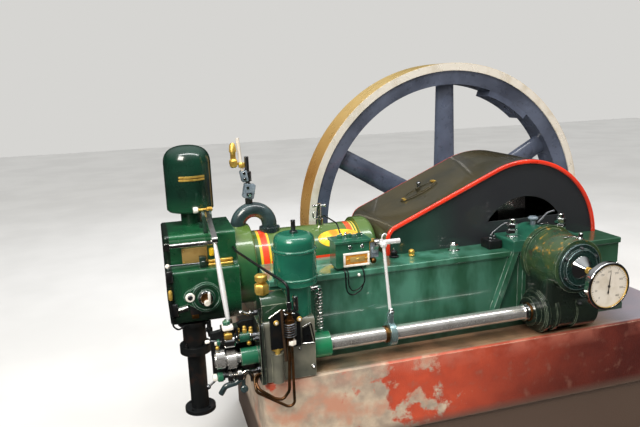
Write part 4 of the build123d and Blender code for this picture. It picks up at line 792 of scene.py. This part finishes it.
def gear_case_fittings():
    """Nuts, screws and rings on the spiral gear case and at the shafts, and a bright strip and rings as
    painted highlights.
    """
    with crafted("shaft_end_nut", gold, "brass") as mesh:
        hexagon(mesh, (0, cover_low.y - 33, crank_z), NEAR, 24, 16)
    with crafted("drum_stud", chrome, "steel") as mesh:
        top = seat("timing_case", (22, -538, drop_from), DOWN)
        out = Vector((22, 0, 101)).normalized()
        disc(mesh, top - out * 2, out, 15, 8, 2, 24)
        disc(mesh, top + out * 6, out, 9, 18, 3, 20)
    # A chrome strip along the drum's top stands for a painted highlight
    with crafted("drum_highlight_strip", chrome, "steel") as mesh:
        top = seat("timing_case", (-2, -520, drop_from), DOWN)
        slab(mesh, top + Vector((-34, -4, -3)), top + Vector((20, 4, 4)), 2)
    with crafted("gear_case_screws", dark_steel, "steel") as mesh:
        for x in (46, 120):
            for angle in (65, 25):
                out = Vector((0, -math.cos(math.radians(angle)), math.sin(math.radians(angle))))
                middle = Vector((x, shaft_y, shaft_z))
                spot = seat("timing_case", middle + out * 240, -out)
                hex_nut(mesh, spot - out, out, 12, 0.3)
    with crafted("side_shaft_collar", chrome, "steel", "side_shaft_body") as mesh:
        ring(mesh, (-163, shaft_y, shaft_z), RIGHT, 27, 34, 21)
    with crafted("neck_bush_ring", bronze, "brass") as mesh:
        ring(mesh, (-141, shaft_y, shaft_z), RIGHT, 29.5, 38, 6)
    with crafted("drum_cover_screws", dark_steel, "steel") as mesh:
        for k in range(6):
            angle = math.radians(30 + 60 * k)
            out = Vector((math.cos(angle), 0, math.sin(angle)))
            spot = seat("case_cover", Vector((0, cover_low.y - 60, crank_z)) + out * 76, FAR)
            hex_nut(mesh, spot + FAR, NEAR, 13, 0.3)
    # Two thin bright rings on the cover's steps stand for painted highlights on their edges
    with crafted("drum_cover_highlight_rings", teal_steel, "steel") as mesh:
        for radius in (90, 70):
            rim = seat("case_cover", (0, cover_low.y - 60, crank_z + radius - 1), FAR)
            ring(mesh, (0, rim.y + 1, crank_z), NEAR, radius - 1.2, radius + 1.2, 2, 0.8, 72)


def bearing_fittings():
    """Studs on the lugs, oil knob, bar and rod on the crown, and the block beside the near cap."""
    caps = (("near_bearing_cap", -1), ("far_bearing_cap", 1))
    with crafted("bearing_studs", chrome, "steel") as mesh:
        for cap, side in caps:
            for x in (-118, 118):
                stud_stack(mesh, seat(cap, (x, side * 297, drop_from), DOWN), 40)
    for cap, side in caps:
        crown = seat(cap, (0, side * 272, drop_from), DOWN)
        with crafted(f"{cap}_oil_knob", slate, "green") as mesh:
            disc(mesh, crown + DOWN * 3, UP, 11, 26, 2, 24)
            disc(mesh, crown + UP * 20, UP, 21, 14, 5, 32)
        with crafted(f"{cap}_bar", chrome, "steel") as mesh:
            slab(mesh, crown + Vector((26, -16, -8)), crown + Vector((66, -4, 3)), 2)
        with crafted(f"{cap}_rod", dark_steel, "steel") as mesh:
            pipe(mesh, [crown + Vector(step) for step in ((24, 0, 4), (76, 6, 42), (108, 6, 48))], 4, 10)
    with crafted("bed_corner_block", black, "black") as mesh:
        slab(mesh, (-226, -302, bed_high.z - 1), (-166, -232, bed_high.z + 36), 4)
    with crafted("bed_corner_nuts", dark_steel, "steel") as mesh:
        for x, y in ((-210, -284), (-184, -262)):
            hex_nut(mesh, (x, y, bed_high.z + 35), UP, 20, 0.6)
    with crafted("corner_oil_pipe", dark_steel, "steel") as mesh:
        pipe(mesh, [(-196, -268, bed_high.z + 36), (-196, -268, 905), (-150, -268, 935), (-128, -268, 945),
                    (-119, -290, 945)], 4, 16)


def bed_fittings():
    """Holding-down nuts on the foot, plugs and a hexagon on the top flange."""
    with crafted("holding_down_nuts", dark_steel, "steel") as mesh:
        for x in (-1060, -700, -350, 350):
            for side in (-1, 1):
                hex_nut(mesh, seat("bed", (x, side * 368, 800), DOWN), UP, 34, 0.7)
    with crafted("flange_hexagon", chrome, "steel") as mesh:
        disc(mesh, (-362, -250, bed_high.z), UP, 24, 5, 1)
        hexagon(mesh, (-366, -250, bed_high.z + 5), UP, 38, 24)
        disc(mesh, (-366, -250, bed_high.z + 29), UP, 11, 8, 3)
    with crafted("flange_brass_plug", gold, "brass") as mesh:
        disc(mesh, (-556, -254, bed_high.z), UP, 12, 8, 2)
        ball(mesh, (-556, -254, bed_high.z + 17), 13)
    with crafted("flange_black_plug", black, "black") as mesh:
        disc(mesh, (-628, -240, bed_high.z), UP, 20, 8, 2)
        ball(mesh, (-628, -240, bed_high.z + 18), 15, 0.9)
    with crafted("black_plug_pin", chrome, "steel") as mesh:
        pipe(mesh, [(-628, -240, bed_high.z + 28), (-628, -240, bed_high.z + 40)], 3)


def lubricator_fittings():
    """Sight window, screws, ratchet housing, nipples and oil pipes, and the bolt on the shaft's strap."""
    front = seat("lubricator", (-825, -500, 890), FAR).y
    with crafted("oiler_window_frame", white, "steel") as mesh:
        open_frame(mesh, (-877, front - 6, 860), (-772, front + 1, 914), 8)
    with crafted("oiler_window_panel", amber, "brass") as mesh:
        slab(mesh, (-870, front - 3, 867), (-779, front + 1, 907), 0.5)
    with crafted("oiler_sight_plate", ochre, "brass") as mesh:
        slab(mesh, (-850, front - 4.5, 876), (-790, front - 2, 897), 1)
    with crafted("oiler_sight_glasses", gold, "brass") as mesh:
        for x in (-860, -820, -784):
            disc(mesh, (x, front - 2, 887), NEAR, 5, 5, 1.5, 20)
    with crafted("oiler_screws", chrome, "steel") as mesh:
        for x in (-850, -801):
            slotted_screw(mesh, (x, front + 1, 936), NEAR, 7.5, RIGHT)
    with crafted("ratchet_housing", slate, "blue_grey") as mesh:
        slab(mesh, (-765, -326, 880), (-727, -290, 944), 4, steps=3)
        disc(mesh, (-746, -325, 912), NEAR, 15, 5, 1.5)
    with crafted("ratchet_brass_edge", gold, "brass") as mesh:
        slab(mesh, (-773, -331, 884), (-765, -292, 950), 1.5)
        slab(mesh, (-773, -331, 944), (-735, -292, 950), 1.5)
    with crafted("ratchet_oil_cup", bronze, "brass") as mesh:
        ball(mesh, (-750, -325, 869), 12)
        disc(mesh, (-750, -310, 866), UP, 9, 18, 2)
    with crafted("ratchet_handle_sleeve", bright_steel, "steel") as mesh:
        pipe(mesh, [(-712, -336, 940), (-645, -336, 940)], 10, sides=20)
        disc(mesh, (-726, -336, 940), RIGHT, 15, 14, 3)
        pipe(mesh, [(-724, -346, 945), (-724, -352, 968), (-714, -352, 980), (-704, -352, 972)], 3, 6)
    lid = seat("lubricator", (-765, -277, drop_from), DOWN).z
    with crafted("oiler_lid_nipples", steel, "steel") as mesh:
        for x, y in ((-862, -267), (-840, -260), (-829, -282), (-802, -294), (-785, -285)):
            disc(mesh, (x, y, lid - 2), UP, 6, 11, 1.5, 20)
            ball(mesh, (x, y, lid + 11), 5)
    with crafted("oiler_drip_pipes", dark_pipe, "black") as mesh:
        pipe(mesh, [(-877, -330, 852), (-877, -359, 850), (-876, -361, 790), (-870, -361, 762),
                    (-848, -361, 752), (-816, -361, 768), (-800, -361, 806), (-804, -359, 848),
                    (-804, -330, 852)], 2.8, 22)
        pipe(mesh, [(-866, -330, 852), (-866, -358, 850), (-864, -359, 790), (-850, -359, 766),
                    (-822, -360, 776), (-808, -361, 792)], 2.2, 20)
    with crafted("oiler_white_nipple", white, "steel") as mesh:
        disc(mesh, (-821, -350, 829), NEAR, 5.5, 9, 2, 20)
    with crafted("oiler_feed_pipe", dark_pipe, "black") as mesh:
        pipe(mesh, [(-868, -12, 985), (-874, -90, 1012), (-864, -230, 1008), (-862, -267, lid + 10)], 3, 40)
    with crafted("check_valve_handle", chrome, "steel") as mesh:
        pipe(mesh, [(-893, 0, 1036), (-843, 0, 1036)], 4)
        ball(mesh, (-893, 0, 1036), 7)
        ball(mesh, (-843, 0, 1036), 7)
        pipe(mesh, [(-884, 0, 985), (-896, 0, 985), (-896, 0, 1008), (-884, 0, 1008)], 3, 8)
    with crafted("strap_bolt", chrome, "steel") as mesh:
        middle = (strap_low + strap_high) / 2
        disc(mesh, (middle.x + 4, shaft_y, strap_high.z - 2), UP, 13, 9, 2.5)
        ball(mesh, (middle.x + 4, shaft_y, strap_high.z + 8), 10)
    with crafted("strap_bronze_ring", bronze, "brass") as mesh:
        ring(mesh, (strap_low.x - 14, shaft_y, shaft_z), RIGHT, 29.2, 32, 15)


def head_fittings():
    """Plate, lining, lever, nuts and small covers on the cylinder head."""
    wall = seat("cylinder_head", (-1410, head_front, 912), FAR).y
    front = seat("cylinder_head", (-1480, head_front, 800), FAR).y
    with crafted("head_bare_plate", ochre, "brass") as mesh:
        slab(mesh, (-1461, wall - 3, 884), (-1364, wall + 1, 944), 1)
    with crafted("head_plate_screws", gold, "brass") as mesh:
        for x in (-1455, -1370):
            for z in (890, 936):
                slotted_screw(mesh, (x, wall - 3, z), NEAR, 3, RIGHT)
    with crafted("head_yellow_capsule", yellow, "brass") as mesh:
        swept(mesh, [Vector((-1348, wall - 6, z)) for z in (906, 909, 934, 937)], [7, 10, 10, 7], 20)
    with crafted("head_gold_bars", gold, "brass") as mesh:
        for y, z in ((wall - 6, 885), (wall - 13, 872)):
            pipe(mesh, [(-1360, y, z), (-1272, y, z)], 6, sides=16)
            ball(mesh, (-1272, y, z), 6.5)
            ball(mesh, (-1360, y, z), 6.5)
    with crafted("head_lever", dark_steel, "steel") as mesh:
        pipe(mesh, [(-1519, wall - 25, 888), (-1388, wall - 25, 886)], 4)
    with crafted("head_lever_ball", white, "steel") as mesh:
        ball(mesh, (-1519, wall - 25, 888), 9)
    with crafted("head_lever_bracket", deep_green, "green") as mesh:
        slab(mesh, (-1399, wall - 34, 862), (-1373, wall + 1, 912), 4)
        disc(mesh, (-1386, wall - 33, 888), NEAR, 9, 8, 2)
    with crafted("head_flat_nuts", dark_steel, "steel") as mesh:
        slab(mesh, (-1527, front - 10, 830), (-1503, front + 1, 876), 4)
        slab(mesh, (-1523, front - 10, 694), (-1495, front + 1, 744), 4)
    with crafted("head_bright_plug", steel, "steel") as mesh:
        pipe(mesh, [(-1492, front - 6, 716), (-1456, front - 6, 724)], 11, sides=20)
    with crafted("head_small_cover", black, "black") as mesh:
        slab(mesh, (-1450, front - 14, 694), (-1407, front + 1, 732), 4)
    with crafted("head_small_cover_foot", bronze, "brass") as mesh:
        slab(mesh, (-1446, front - 12, 678), (-1419, front + 1, 695), 3)
    tail = seat("cylinder_head", (-1447, head_front, 768), FAR)
    with crafted("head_tail_ring", white, "steel") as mesh:
        ring(mesh, tail + FAR, NEAR, 10, 18, 9, 2.5, 40)
    with crafted("head_tail_nut", dark_steel, "steel") as mesh:
        hexagon(mesh, tail + FAR, NEAR, 17, 12)
    boss = seat("cylinder_head", (-1389, head_front, 762), FAR)
    with crafted("head_boss_ring", chrome, "steel") as mesh:
        ring(mesh, boss + FAR, NEAR, 21, 29, 8, 2, 48)
    with crafted("head_boss_cap", bronze, "brass") as mesh:
        disc(mesh, boss + FAR, NEAR, 20.5, 5, 1.5)
    with crafted("head_boss_knob", white, "steel") as mesh:
        disc(mesh, boss + Vector((3, 1, -17)), NEAR, 12, 16, 3)
        slab(mesh, boss + Vector((7, -14, -16)), boss + Vector((17, -4, 24)), 4, steps=3)
    with crafted("head_cock", gold, "brass") as mesh:
        swept(mesh, [Vector((-1519, front - 14, z)) for z in (766, 772, 798, 804)], [6, 8, 8, 5], 16)
        slab(mesh, (-1524, front - 14, 778), (-1514, front + 1, 790), 2)
    with crafted("head_cock_pipe", dark_pipe, "black") as mesh:
        pipe(mesh, [(-1519, front - 14, 768), (-1519, front - 14, 660), (-1500, front - 12, 640),
                    (-1470, front + 6, 652)], 3.4, 24)
    with crafted("head_under_stem", black, "black") as mesh:
        under = head_low.z
        heights = (under + 4, under - 24, under - 26, under - 40, under - 42, under - 62)
        swept(mesh, [Vector((-1382, -156, z)) for z in heights], [9, 9, 13, 13, 8, 6], 20)


def exhaust_fittings():
    """Bolts on the joint of the exhaust neck and its downpipe."""
    middle = (exhaust_low + exhaust_high) / 2
    with crafted("exhaust_joint_nuts", black, "black") as mesh:
        for k in range(4):
            angle = math.radians(45 + 90 * k)
            out = Vector((math.cos(angle), math.sin(angle), 0))
            spot = seat("exhaust_neck", Vector((middle.x, middle.y, 610)) + out * 53, DOWN)
            hex_nut(mesh, spot, UP, 13, 0.5)


def valve_gear_fittings():
    """The followers' sleeves, nuts, forks and the black bracket that carries them behind the cams."""
    with crafted("follower_bracket", black, "black") as mesh:
        outline = [(-1400, 540), (-1245, 540), (-1245, 730), (-1290, 730), (-1330, 708), (-1400, 700)]
        drawn_plate(mesh, outline, (0, -388, 0), RIGHT, UP, 14, 3)
        slab(mesh, (-1400, -388, 600), (-1384, -372, 696), 4)
    with crafted("follower_bracket_arms", black, "black") as mesh:
        pipe(mesh, [(-1340, -392, 548), (-1340, -410, 552)], 9)
        pipe(mesh, [(-1300, -392, 684), (-1300, -430, 684)], 10)
    with crafted("follower_cream_head", white, "steel") as mesh:
        slab(mesh, (-1363, -474, 728), (-1325, -436, 744), 5, steps=3)
    with crafted("pushrod_lower_nut", green, "green") as mesh:
        hexagon(mesh, (-1347, -452, 742), UP, 24, 15)
    with crafted("follower_brass_band", gold, "brass") as mesh:
        slab(mesh, (-1359, -476, 697), (-1330, -450, 718), 5, steps=3)
    with crafted("follower_roller_cover", chrome, "steel") as mesh:
        disc(mesh, (-1360, shaft_y - 3, 680), RIGHT, 21, 38, 3, 40)
    with crafted("follower_lock_ring", green, "green") as mesh:
        disc(mesh, (-1384, shaft_y, 680), RIGHT, 12, 11, 2)
    with crafted("follower_white_ends", white, "steel") as mesh:
        disc(mesh, (-1392, shaft_y, 680), RIGHT, 8, 9, 2)
        disc(mesh, (-1424, shaft_y, 690), RIGHT, 6, 16, 2)
    with crafted("follower_spindle", dark_steel, "steel") as mesh:
        pipe(mesh, [(-1412, shaft_y, 690), (-1396, shaft_y, 688), (-1360, shaft_y, 682)], 4.5, 10)
    with crafted("guide_sleeve", green, "green") as mesh:
        ring(mesh, (-1306, shaft_y + 10, 684), RIGHT, 12.5, 18, 38, 2.5)
    with crafted("guide_bands", chrome, "steel") as mesh:
        ring(mesh, (-1318, shaft_y + 10, 684), RIGHT, 12.5, 20, 12, 2)
        ring(mesh, (-1268, shaft_y + 10, 684), RIGHT, 12.5, 16, 7, 2)
    with crafted("guide_brass_cups", gold, "brass") as mesh:
        for x, z in ((-1308, 700), (-1284, 704), (-1262, 698)):
            disc(mesh, (x, shaft_y + 10, z - 6), UP, 8, 18, 2.5, 20)
            ball(mesh, (x, shaft_y + 10, z + 16), 7, 0.8)
        ball(mesh, (-1272, shaft_y - 2, 664), 8)
        ball(mesh, (-1384, shaft_y - 10, 666), 7)
    with crafted("case_side_lever", chrome, "steel") as mesh:
        pipe(mesh, [(-1243, -424, 760), (-1270, -424, 762), (-1290, -424, 772)], 6, 16)
        ball(mesh, (-1290, -424, 772), 10, 0.7)
        disc(mesh, (-1262, -424, 762), RIGHT, 11, 8, 2)
    with crafted("exhaust_end_nut", white, "steel") as mesh:
        disc(mesh, (-1406, shaft_y, 553), RIGHT, 13, 16, 3)
    with crafted("exhaust_lock_ring", green, "green") as mesh:
        disc(mesh, (-1390, shaft_y, 553), RIGHT, 18, 21, 3)
    with crafted("exhaust_fork", steel, "steel") as mesh:
        for x, radius, width in ((-1354, 22, 18), (-1336, 16, 12), (-1324, 24, 24), (-1300, 18, 10)):
            disc(mesh, (x, shaft_y - 2, 550), RIGHT, radius, width, 4, 40)
        pipe(mesh, [(-1304, shaft_y - 20, 562), (-1284, shaft_y - 20, 572), (-1272, shaft_y - 20, 548),
                    (-1270, shaft_y - 20, 528)], 7, 14, 16)
    with crafted("exhaust_curved_arm", bend_grey, "green") as mesh:
        pipe(mesh, [(-1384, shaft_y - 10, 492), (-1366, shaft_y - 12, 520), (-1330, shaft_y - 12, 526),
                    (-1306, shaft_y - 12, 540)], 10, 20, 16)
    with crafted("exhaust_spring_disc", bend_grey, "green") as mesh:
        pipe(mesh, [(-1301, shaft_y - 10, 500), (-1301, shaft_y - 10, 544)], 7)
        disc(mesh, (-1301, shaft_y - 8, 500), NEAR, 14, 16, 3)
    with crafted("exhaust_side_ball", dark_steel, "steel") as mesh:
        ball(mesh, (-1424, shaft_y, 522), 9)
        pipe(mesh, [(-1424, shaft_y, 522), (-1400, shaft_y, 540)], 4)


def governor_case_fittings():
    """Cover plate, nuts, window, pipes and pump parts on the governor case, and bright strips as painted
    highlights on its flange and neck.
    """
    front = seat("governor_case", (-1190, case_front, 700), FAR).y
    with crafted("pump_cover_plate", dark_pipe, "black") as mesh:
        outline = [(-1207, 656), (-1100, 656), (-1100, 770), (-1122, 790), (-1168, 796), (-1207, 774)]
        drawn_plate(mesh, [(-x, z) for x, z in outline], (0, front - 14, 0), LEFT, UP, 15, 3)
    with crafted("pump_cover_edge", chrome, "steel") as mesh:
        pipe(mesh, [(-1210, front - 14, 774), (-1169, front - 14, 798), (-1150, front - 14, 794)], 3.2, 6)
    nut_places = ((-1186, 754), (-1104, 757))
    with crafted("pump_cover_nuts", gold, "brass") as mesh:
        for x, z in nut_places:
            ring(mesh, (x, front - 13, z), NEAR, 5, 9.5, 5, 1.5, 32)
    with crafted("pump_cover_nut_hearts", white, "steel") as mesh:
        for x, z in nut_places:
            hexagon(mesh, (x, front - 13, z), NEAR, 9, 9)
    with crafted("filter_wing_nut", gold, "brass") as mesh:
        stem_x = -1184
        disc(mesh, (stem_x, -516, 636), UP, 9, 26, 2)
        for side in (-1, 1):
            wing_x = stem_x + side * 12
            slab(mesh, (wing_x - 8, -520, 648), (wing_x + 8, -512, 664), 3,
                 Matrix.Rotation(math.radians(-24 * side), 4, "Y"))
    with crafted("pump_hand_lever", brown_iron, "black") as mesh:
        pipe(mesh, [(-1166, -526, 800), (-1165, -530, 780), (-1163, -530, 712), (-1157, -526, 610)], 5.5, 30)
    with crafted("second_feed_pipe", copper, "copper") as mesh:
        pipe(mesh, [(-1148, -531, 690), (-1146, -530, 620), (-1152, -528, 496), (-1176, -528, 466),
                    (-1206, -526, 476), (-1258, -520, 516), (-1264, -494, 532), (-1247, -470, 545)],
             5.5, 26, 14)
    # A thin steel bar on the flange's front edge stands for a painted highlight
    with crafted("case_flange_highlight_bar", dark_steel, "steel") as mesh:
        pipe(mesh, [(-1239, -520, 812), (-1242, -521, 700), (-1239, -520, 560)], 2.6, 60)
    with crafted("case_flange_nuts", dark_steel, "steel") as mesh:
        for z in (580, 695, 790):
            hex_nut(mesh, (-1244, -498, z), LEFT, 17, 0.5)
    with crafted("delivery_union", gold, "brass") as mesh:
        middle = Vector((-1217, -456, 0))
        hexagon(mesh, middle + UP * 841, UP, 46, 36)
    with crafted("delivery_union_crown", gold, "brass") as mesh:
        disc(mesh, middle + UP * 874, UP, 15, 14, 2)
        disc(mesh, middle + UP * 886, UP, 22, 24, 4)
    with crafted("pump_top_nut", chrome, "steel") as mesh:
        hexagon(mesh, (-1141, -537, 804), UP, 18, 24)
        slab(mesh, (-1160, -545, 780), (-1122, -529, 788), 2)
    with crafted("pump_coil", dark_steel, "steel") as mesh:
        coil(mesh, (-1141, -537, 706), UP, 20.5, 2.6, 6, 52)
    with crafted("pump_cream_nut", white, "steel") as mesh:
        hexagon(mesh, (-1136, -537, 672), UP, 25, 18)
    with crafted("window_frame", steel, "steel") as mesh:
        pane = seat("governor_case", (-1074, case_front, 684), FAR)
        rim = [(-1094, 657), (-1091, 719), (-1060, 731), (-1047, 654)]
        corner_spots = [Vector((x, pane.y - 6, z)) for x, z in rim]
        path = []
        for k, spot in enumerate(corner_spots):
            onward = corner_spots[(k + 1) % 4]
            path += [spot.lerp(onward, share) for share in (0.08, 0.5, 0.92)]
        swept(mesh, path, 3, 10, closed=True)
    with crafted("window_glass", dark_pipe, "black") as mesh:
        drawn_plate(mesh, [(-x, z) for x, z in rim], (0, pane.y - 2, 0), LEFT, UP, 2, 0.3)
    with crafted("case_small_nuts", chrome, "steel") as mesh:
        hex_nut(mesh, (-1047, -468, 581), RIGHT, 15, 0.5)
        hex_nut(mesh, seat("governor_case", (-1056, case_front, 566), FAR), NEAR, 14, 0.4)
        hex_nut(mesh, seat("governor_case", (-1103, case_front, 640), FAR), NEAR, 9, 0.4)
    # A chrome strip on the governor neck stands for a painted highlight
    with crafted("neck_highlight_plate", chrome, "steel") as mesh:
        neck = seat("governor_cap", (-1108, case_front, 800), FAR)
        swept(mesh, [Vector((-1108, neck.y + 5, z)) for z in (772, 778, 830, 836)], [6, 11, 11, 6], 24)


def governor_spring_parts():
    """The wound spring with its rod and the two arms that hold it."""
    middle = Vector(((spring_low.x + spring_high.x) / 2 + 15, (spring_low.y + spring_high.y) / 2, 0))
    with crafted("wound_governor_spring", steel, "steel", replaces="governor_spring") as mesh:
        coil(mesh, middle + UP * 664, UP, 15, 2.8, 12, 142, 10)
        pipe(mesh, [middle + UP * (spring_low.z + 2), middle + UP * (spring_high.z - 2)], 5)
        pipe(mesh, [middle + UP * 821, middle + Vector((-30, -6, 821))], 8)
        pipe(mesh, [middle + UP * 654, Vector((spring_low.x, middle.y, 654))], 7)
    with crafted("spring_end_nuts", chrome, "steel") as mesh:
        for z in (651, 808):
            hexagon(mesh, middle + UP * z, UP, 22, 11)


def silencer_fittings():
    """The gold band round the silencer and the fittings under it."""
    middle = (dome_low + dome_high) / 2
    with crafted("silencer_gold_band", gold, "brass") as mesh:
        for z in (1201, 1189.5):
            drawn_plate(mesh, arc_plate(95.5, 2.6, 52, 117), (middle.x, middle.y, z), RIGHT, NEAR, 8, 0.6)
    with crafted("silencer_band_slot", bronze, "brass") as mesh:
        drawn_plate(mesh, arc_plate(95.5, 1.4, 54, 115), (middle.x, middle.y, 1195), RIGHT, NEAR, 7, 0.3)
    with crafted("silencer_clamp", white, "steel") as mesh:
        disc(mesh, (-1396, 4, 1064), RIGHT, 13, 20, 3)
    with crafted("silencer_clamp_bar", gold, "brass") as mesh:
        pipe(mesh, [(-1380, 4, 1064), (-1318, 4, 1064)], 6)
        disc(mesh, (-1342, 4, 1064), RIGHT, 10, 22, 2)


def vent_fittings():
    """Clevises, rod and brass body over the vent."""
    cheeks = ((-1189, 1096, -1143, 1156, 12), (-1196, 1166, -1168, 1212, -10))
    with crafted("vent_clevises", slate, "blue_grey") as mesh:
        for y in (-14, 14):
            for left, foot, right, top, lean in cheeks:
                slab(mesh, (left, y - 5, foot), (right, y + 5, top), 5,
                     Matrix.Rotation(math.radians(lean), 4, "Y"))
    with crafted("vent_pins", chrome, "steel") as mesh:
        for x, z in ((-1166, 1110), (-1172, 1142), (-1182, 1178), (-1184, 1202)):
            pipe(mesh, [(x, -22, z), (x, 22, z)], 6)
    with crafted("vent_rod", cream, "brass") as mesh:
        pipe(mesh, [(-1186, 0, 1206), (-1192, 0, 1250), (-1200, 0, 1344)], 7, 30, 14)
    with crafted("vent_brass_body", gold, "brass") as mesh:
        hexagon(mesh, (-1189, 0, 1224), UP, 24, 20)
        swept(mesh, [Vector((-1222, -4, z)) for z in (1226, 1232, 1254, 1262, 1286, 1292, 1318, 1326)],
              [9, 15, 17, 11, 11, 15, 12, 6], 20)
        slab(mesh, (-1222, -8, 1236), (-1190, 2, 1246), 2)


def guard_fittings():
    """Knob, hinge and catch on the guard's lid."""
    over_guard = 1300
    knob = seat("guard_lid", (-404, 0, over_guard), DOWN)
    with crafted("guard_lid_knob", dark_steel, "steel") as mesh:
        disc(mesh, knob + DOWN * 2, UP, 7, 14, 1)
        ball(mesh, knob + UP * 15, 11, 0.7)
    with crafted("guard_lid_catch", gold, "brass") as mesh:
        for x, y in ((-476, -8), (-330, 6)):
            spot = seat("guard_lid", (x, y, over_guard), DOWN)
            slab(mesh, spot + Vector((-9, -14, -4)), spot + Vector((9, 14, 4)), 2)


instrument()
gear_case_fittings()
bearing_fittings()
bed_fittings()
lubricator_fittings()
head_fittings()
exhaust_fittings()
valve_gear_fittings()
governor_case_fittings()
governor_spring_parts()
silencer_fittings()
vent_fittings()
guard_fittings()


# Studio: pale floor and backdrop, soft lights
floor_mesh = bmesh.new()
floor_reach = 14.0
for x, y in ((-1, -1), (1, -1), (1, 1), (-1, 1)):
    floor_mesh.verts.new((x * floor_reach, y * floor_reach, -0.001))
floor_mesh.faces.new(floor_mesh.verts)
floor_data = bpy.data.meshes.new("floor")
floor_mesh.to_mesh(floor_data)
floor_mesh.free()
floor = bpy.data.objects.new("floor", floor_data)
scene.collection.objects.link(floor)
floor_finish, floor_tree = new_finish("pale_studio_floor")
close_finish(floor_tree, Roughness=0.85,
             Base_Color=coats(floor_tree, "#d2d0cc", ("#cccac6", patches(floor_tree, 900, 0.4, 0.6))))
floor_data.materials.append(floor_finish)
floor.visible_glossy = False


def softbox(name, place, aim, size, power, tint="#ffffff", mirrored=True):
    """A large soft light that points at a place; mirrored says whether polished parts show it."""
    light = bpy.data.lights.new(name, "AREA")
    light.shape = "RECTANGLE"
    light.size, light.size_y = size
    light.energy = power
    light.color = linear(tint)[:3]
    lamp = bpy.data.objects.new(name, light)
    lamp.location = place
    lamp.rotation_euler = (Vector(aim) - Vector(place)).to_track_quat("-Z", "Y").to_euler()
    lamp.visible_glossy = mirrored
    scene.collection.objects.link(lamp)


engine_middle = (-0.5, 0.0, 0.8)
softbox("key_softbox", (-3.4, -2.8, 3.6), engine_middle, (1.8, 1.8), 150, "#fff8ee")
softbox("top_strip", (-0.6, -0.9, 3.6), (-0.6, -0.3, 0.8), (4.5, 0.35), 60, "#ffffff")
softbox("right_softbox", (3.6, -1.8, 2.2), engine_middle, (1.2, 2.2), 55, "#ffe2c4", False)
softbox("back_softbox", (0.5, 3.6, 3.6), engine_middle, (3.0, 2.0), 110, "#eef4ff", False)
sun = bpy.data.lights.new("wide_overhead_light", "SUN")
sun.energy = 2.0
sun.angle = math.radians(50)
overhead = bpy.data.objects.new("wide_overhead_light", sun)
overhead.rotation_euler = (math.radians(12), math.radians(-10), 0)
overhead.visible_glossy = False
scene.collection.objects.link(overhead)

# The camera sees a pale backdrop, polished parts mirror a dimmer room
world = bpy.data.worlds.new("studio_air")
scene.world = world
world.use_nodes = True
air = world.node_tree
air.nodes.clear()
way = add_node(air, "TexCoord", output="Generated")
rise = add_node(air, "SeparateXYZ", {0: way}, output="Z")
height = add_node(air, "MapRange", {"Value": rise, "From Min": 0.25, "From Max": 0.95})
room = add_node(air, "Background", {"Color": coats(air, "#2c2a2a", ("#f4f8fb", height)), "Strength": 0.6})
backdrop = add_node(air, "Background", {"Color": "#d6d5d2", "Strength": 1.0})
seen = add_node(air, "LightPath", output="Is Camera Ray")
add_node(air, "OutputWorld", {"Surface": add_node(air, "MixShader", {0: seen, 1: room, 2: backdrop})})
scene.view_settings.view_transform = "Standard"
